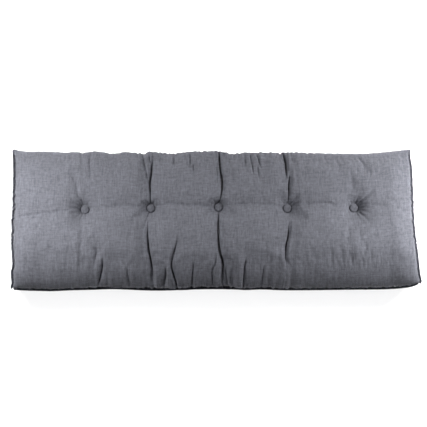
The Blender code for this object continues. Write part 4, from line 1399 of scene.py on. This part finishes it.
class PILLOW_OT_stage(bpy.types.Operator):
    """Set the pale floor, the soft lamps and the camera straight above the pillow"""

    bl_idname = "pillow.make_stage"
    bl_label = "Make the stage"

    def execute(self, context):
        """Lay the floor, hang the lamps and aim the camera"""
        studio = context.scene.pillow_stage
        bpy.ops.mesh.primitive_plane_add(size=FLOOR_SIZE, location=(0.0, 0.0, -FLOOR_GAP))
        floor = context.object
        floor.name = "studio_floor"
        floor.data.materials.append(plain_material("studio_floor", studio.floor_colour, FLOOR_ROUGHNESS))

        soft_lamp(context, "lamp_left", *LEFT_LAMP, SOFTBOX, studio.left_power, END_SPREAD)
        soft_lamp(context, "lamp_right", *RIGHT_LAMP, SOFTBOX, studio.right_power, END_SPREAD)
        soft_lamp(context, "lamp_middle", *MIDDLE_LAMP, SOFTBOX, studio.middle_power, MIDDLE_SPREAD)
        backdrop = soft_lamp(context, "lamp_backdrop", *BACKDROP_LAMP, BACKDROP_SIZE, studio.floor_power)
        floor_only = bpy.data.collections.new("backdrop_lamp_lights")
        floor_only.objects.link(floor)
        backdrop.light_linking.receiver_collection = floor_only
        backdrop.light_linking.blocker_collection = floor_only
        world = bpy.data.worlds.new("studio")
        world.use_nodes = True
        sky = world.node_tree.nodes["Background"]
        sky.inputs["Color"].default_value = (1.0, 1.0, 1.0, 1.0)
        sky.inputs["Strength"].default_value = studio.room_light
        context.scene.world = world
        context.scene.view_settings.view_transform = "Standard"

        data = bpy.data.cameras.new("camera")
        data.lens = data.sensor_width * studio.camera_height / studio.frame_width
        camera = bpy.data.objects.new("camera", data)
        context.scene.collection.objects.link(camera)
        shift_x, shift_y = frame_shift()
        camera.location = (CAMERA_PLACE[0] + shift_x, CAMERA_PLACE[1] + shift_y, studio.camera_height)
        context.scene.camera = camera
        return {"FINISHED"}


class PILLOW_PT_panel(bpy.types.Panel):
    """Sizes, cloth and stage of the pillow, and the buttons that make it"""

    bl_label = "Headboard pillow"
    bl_idname = "PILLOW_PT_panel"
    bl_space_type = "VIEW_3D"
    bl_region_type = "UI"
    bl_category = "Pillow"

    def draw(self, context):
        """List the sizes, colours and lamps, and then the operators"""
        scene = context.scene
        for group in (scene.pillow_shape, scene.pillow_cloth, scene.pillow_stage):
            box = self.layout.box()
            for field in group.__annotations__:
                box.prop(group, field)
        for operator in (PILLOW_OT_cushion, PILLOW_OT_buttons, PILLOW_OT_stage):
            self.layout.operator(operator.bl_idname)


CLASSES = (
    PillowShape, PillowCloth, PillowStage,
    PILLOW_OT_cushion, PILLOW_OT_buttons, PILLOW_OT_stage, PILLOW_PT_panel,
)


def register():
    """Make the classes known to Blender and hang their settings on the scene."""
    for kind in CLASSES:
        bpy.utils.register_class(kind)
    bpy.types.Scene.pillow_shape = PointerProperty(type=PillowShape)
    bpy.types.Scene.pillow_cloth = PointerProperty(type=PillowCloth)
    bpy.types.Scene.pillow_stage = PointerProperty(type=PillowStage)


def unregister():
    """Take the settings and the classes away again."""
    del bpy.types.Scene.pillow_stage
    del bpy.types.Scene.pillow_cloth
    del bpy.types.Scene.pillow_shape
    for kind in reversed(CLASSES):
        bpy.utils.unregister_class(kind)


def main():
    """Make the pillow and its stage."""
    register()
    bpy.ops.pillow.make_cushion()
    bpy.ops.pillow.make_buttons()
    bpy.ops.pillow.make_stage()


if __name__ == "__main__":
    main()
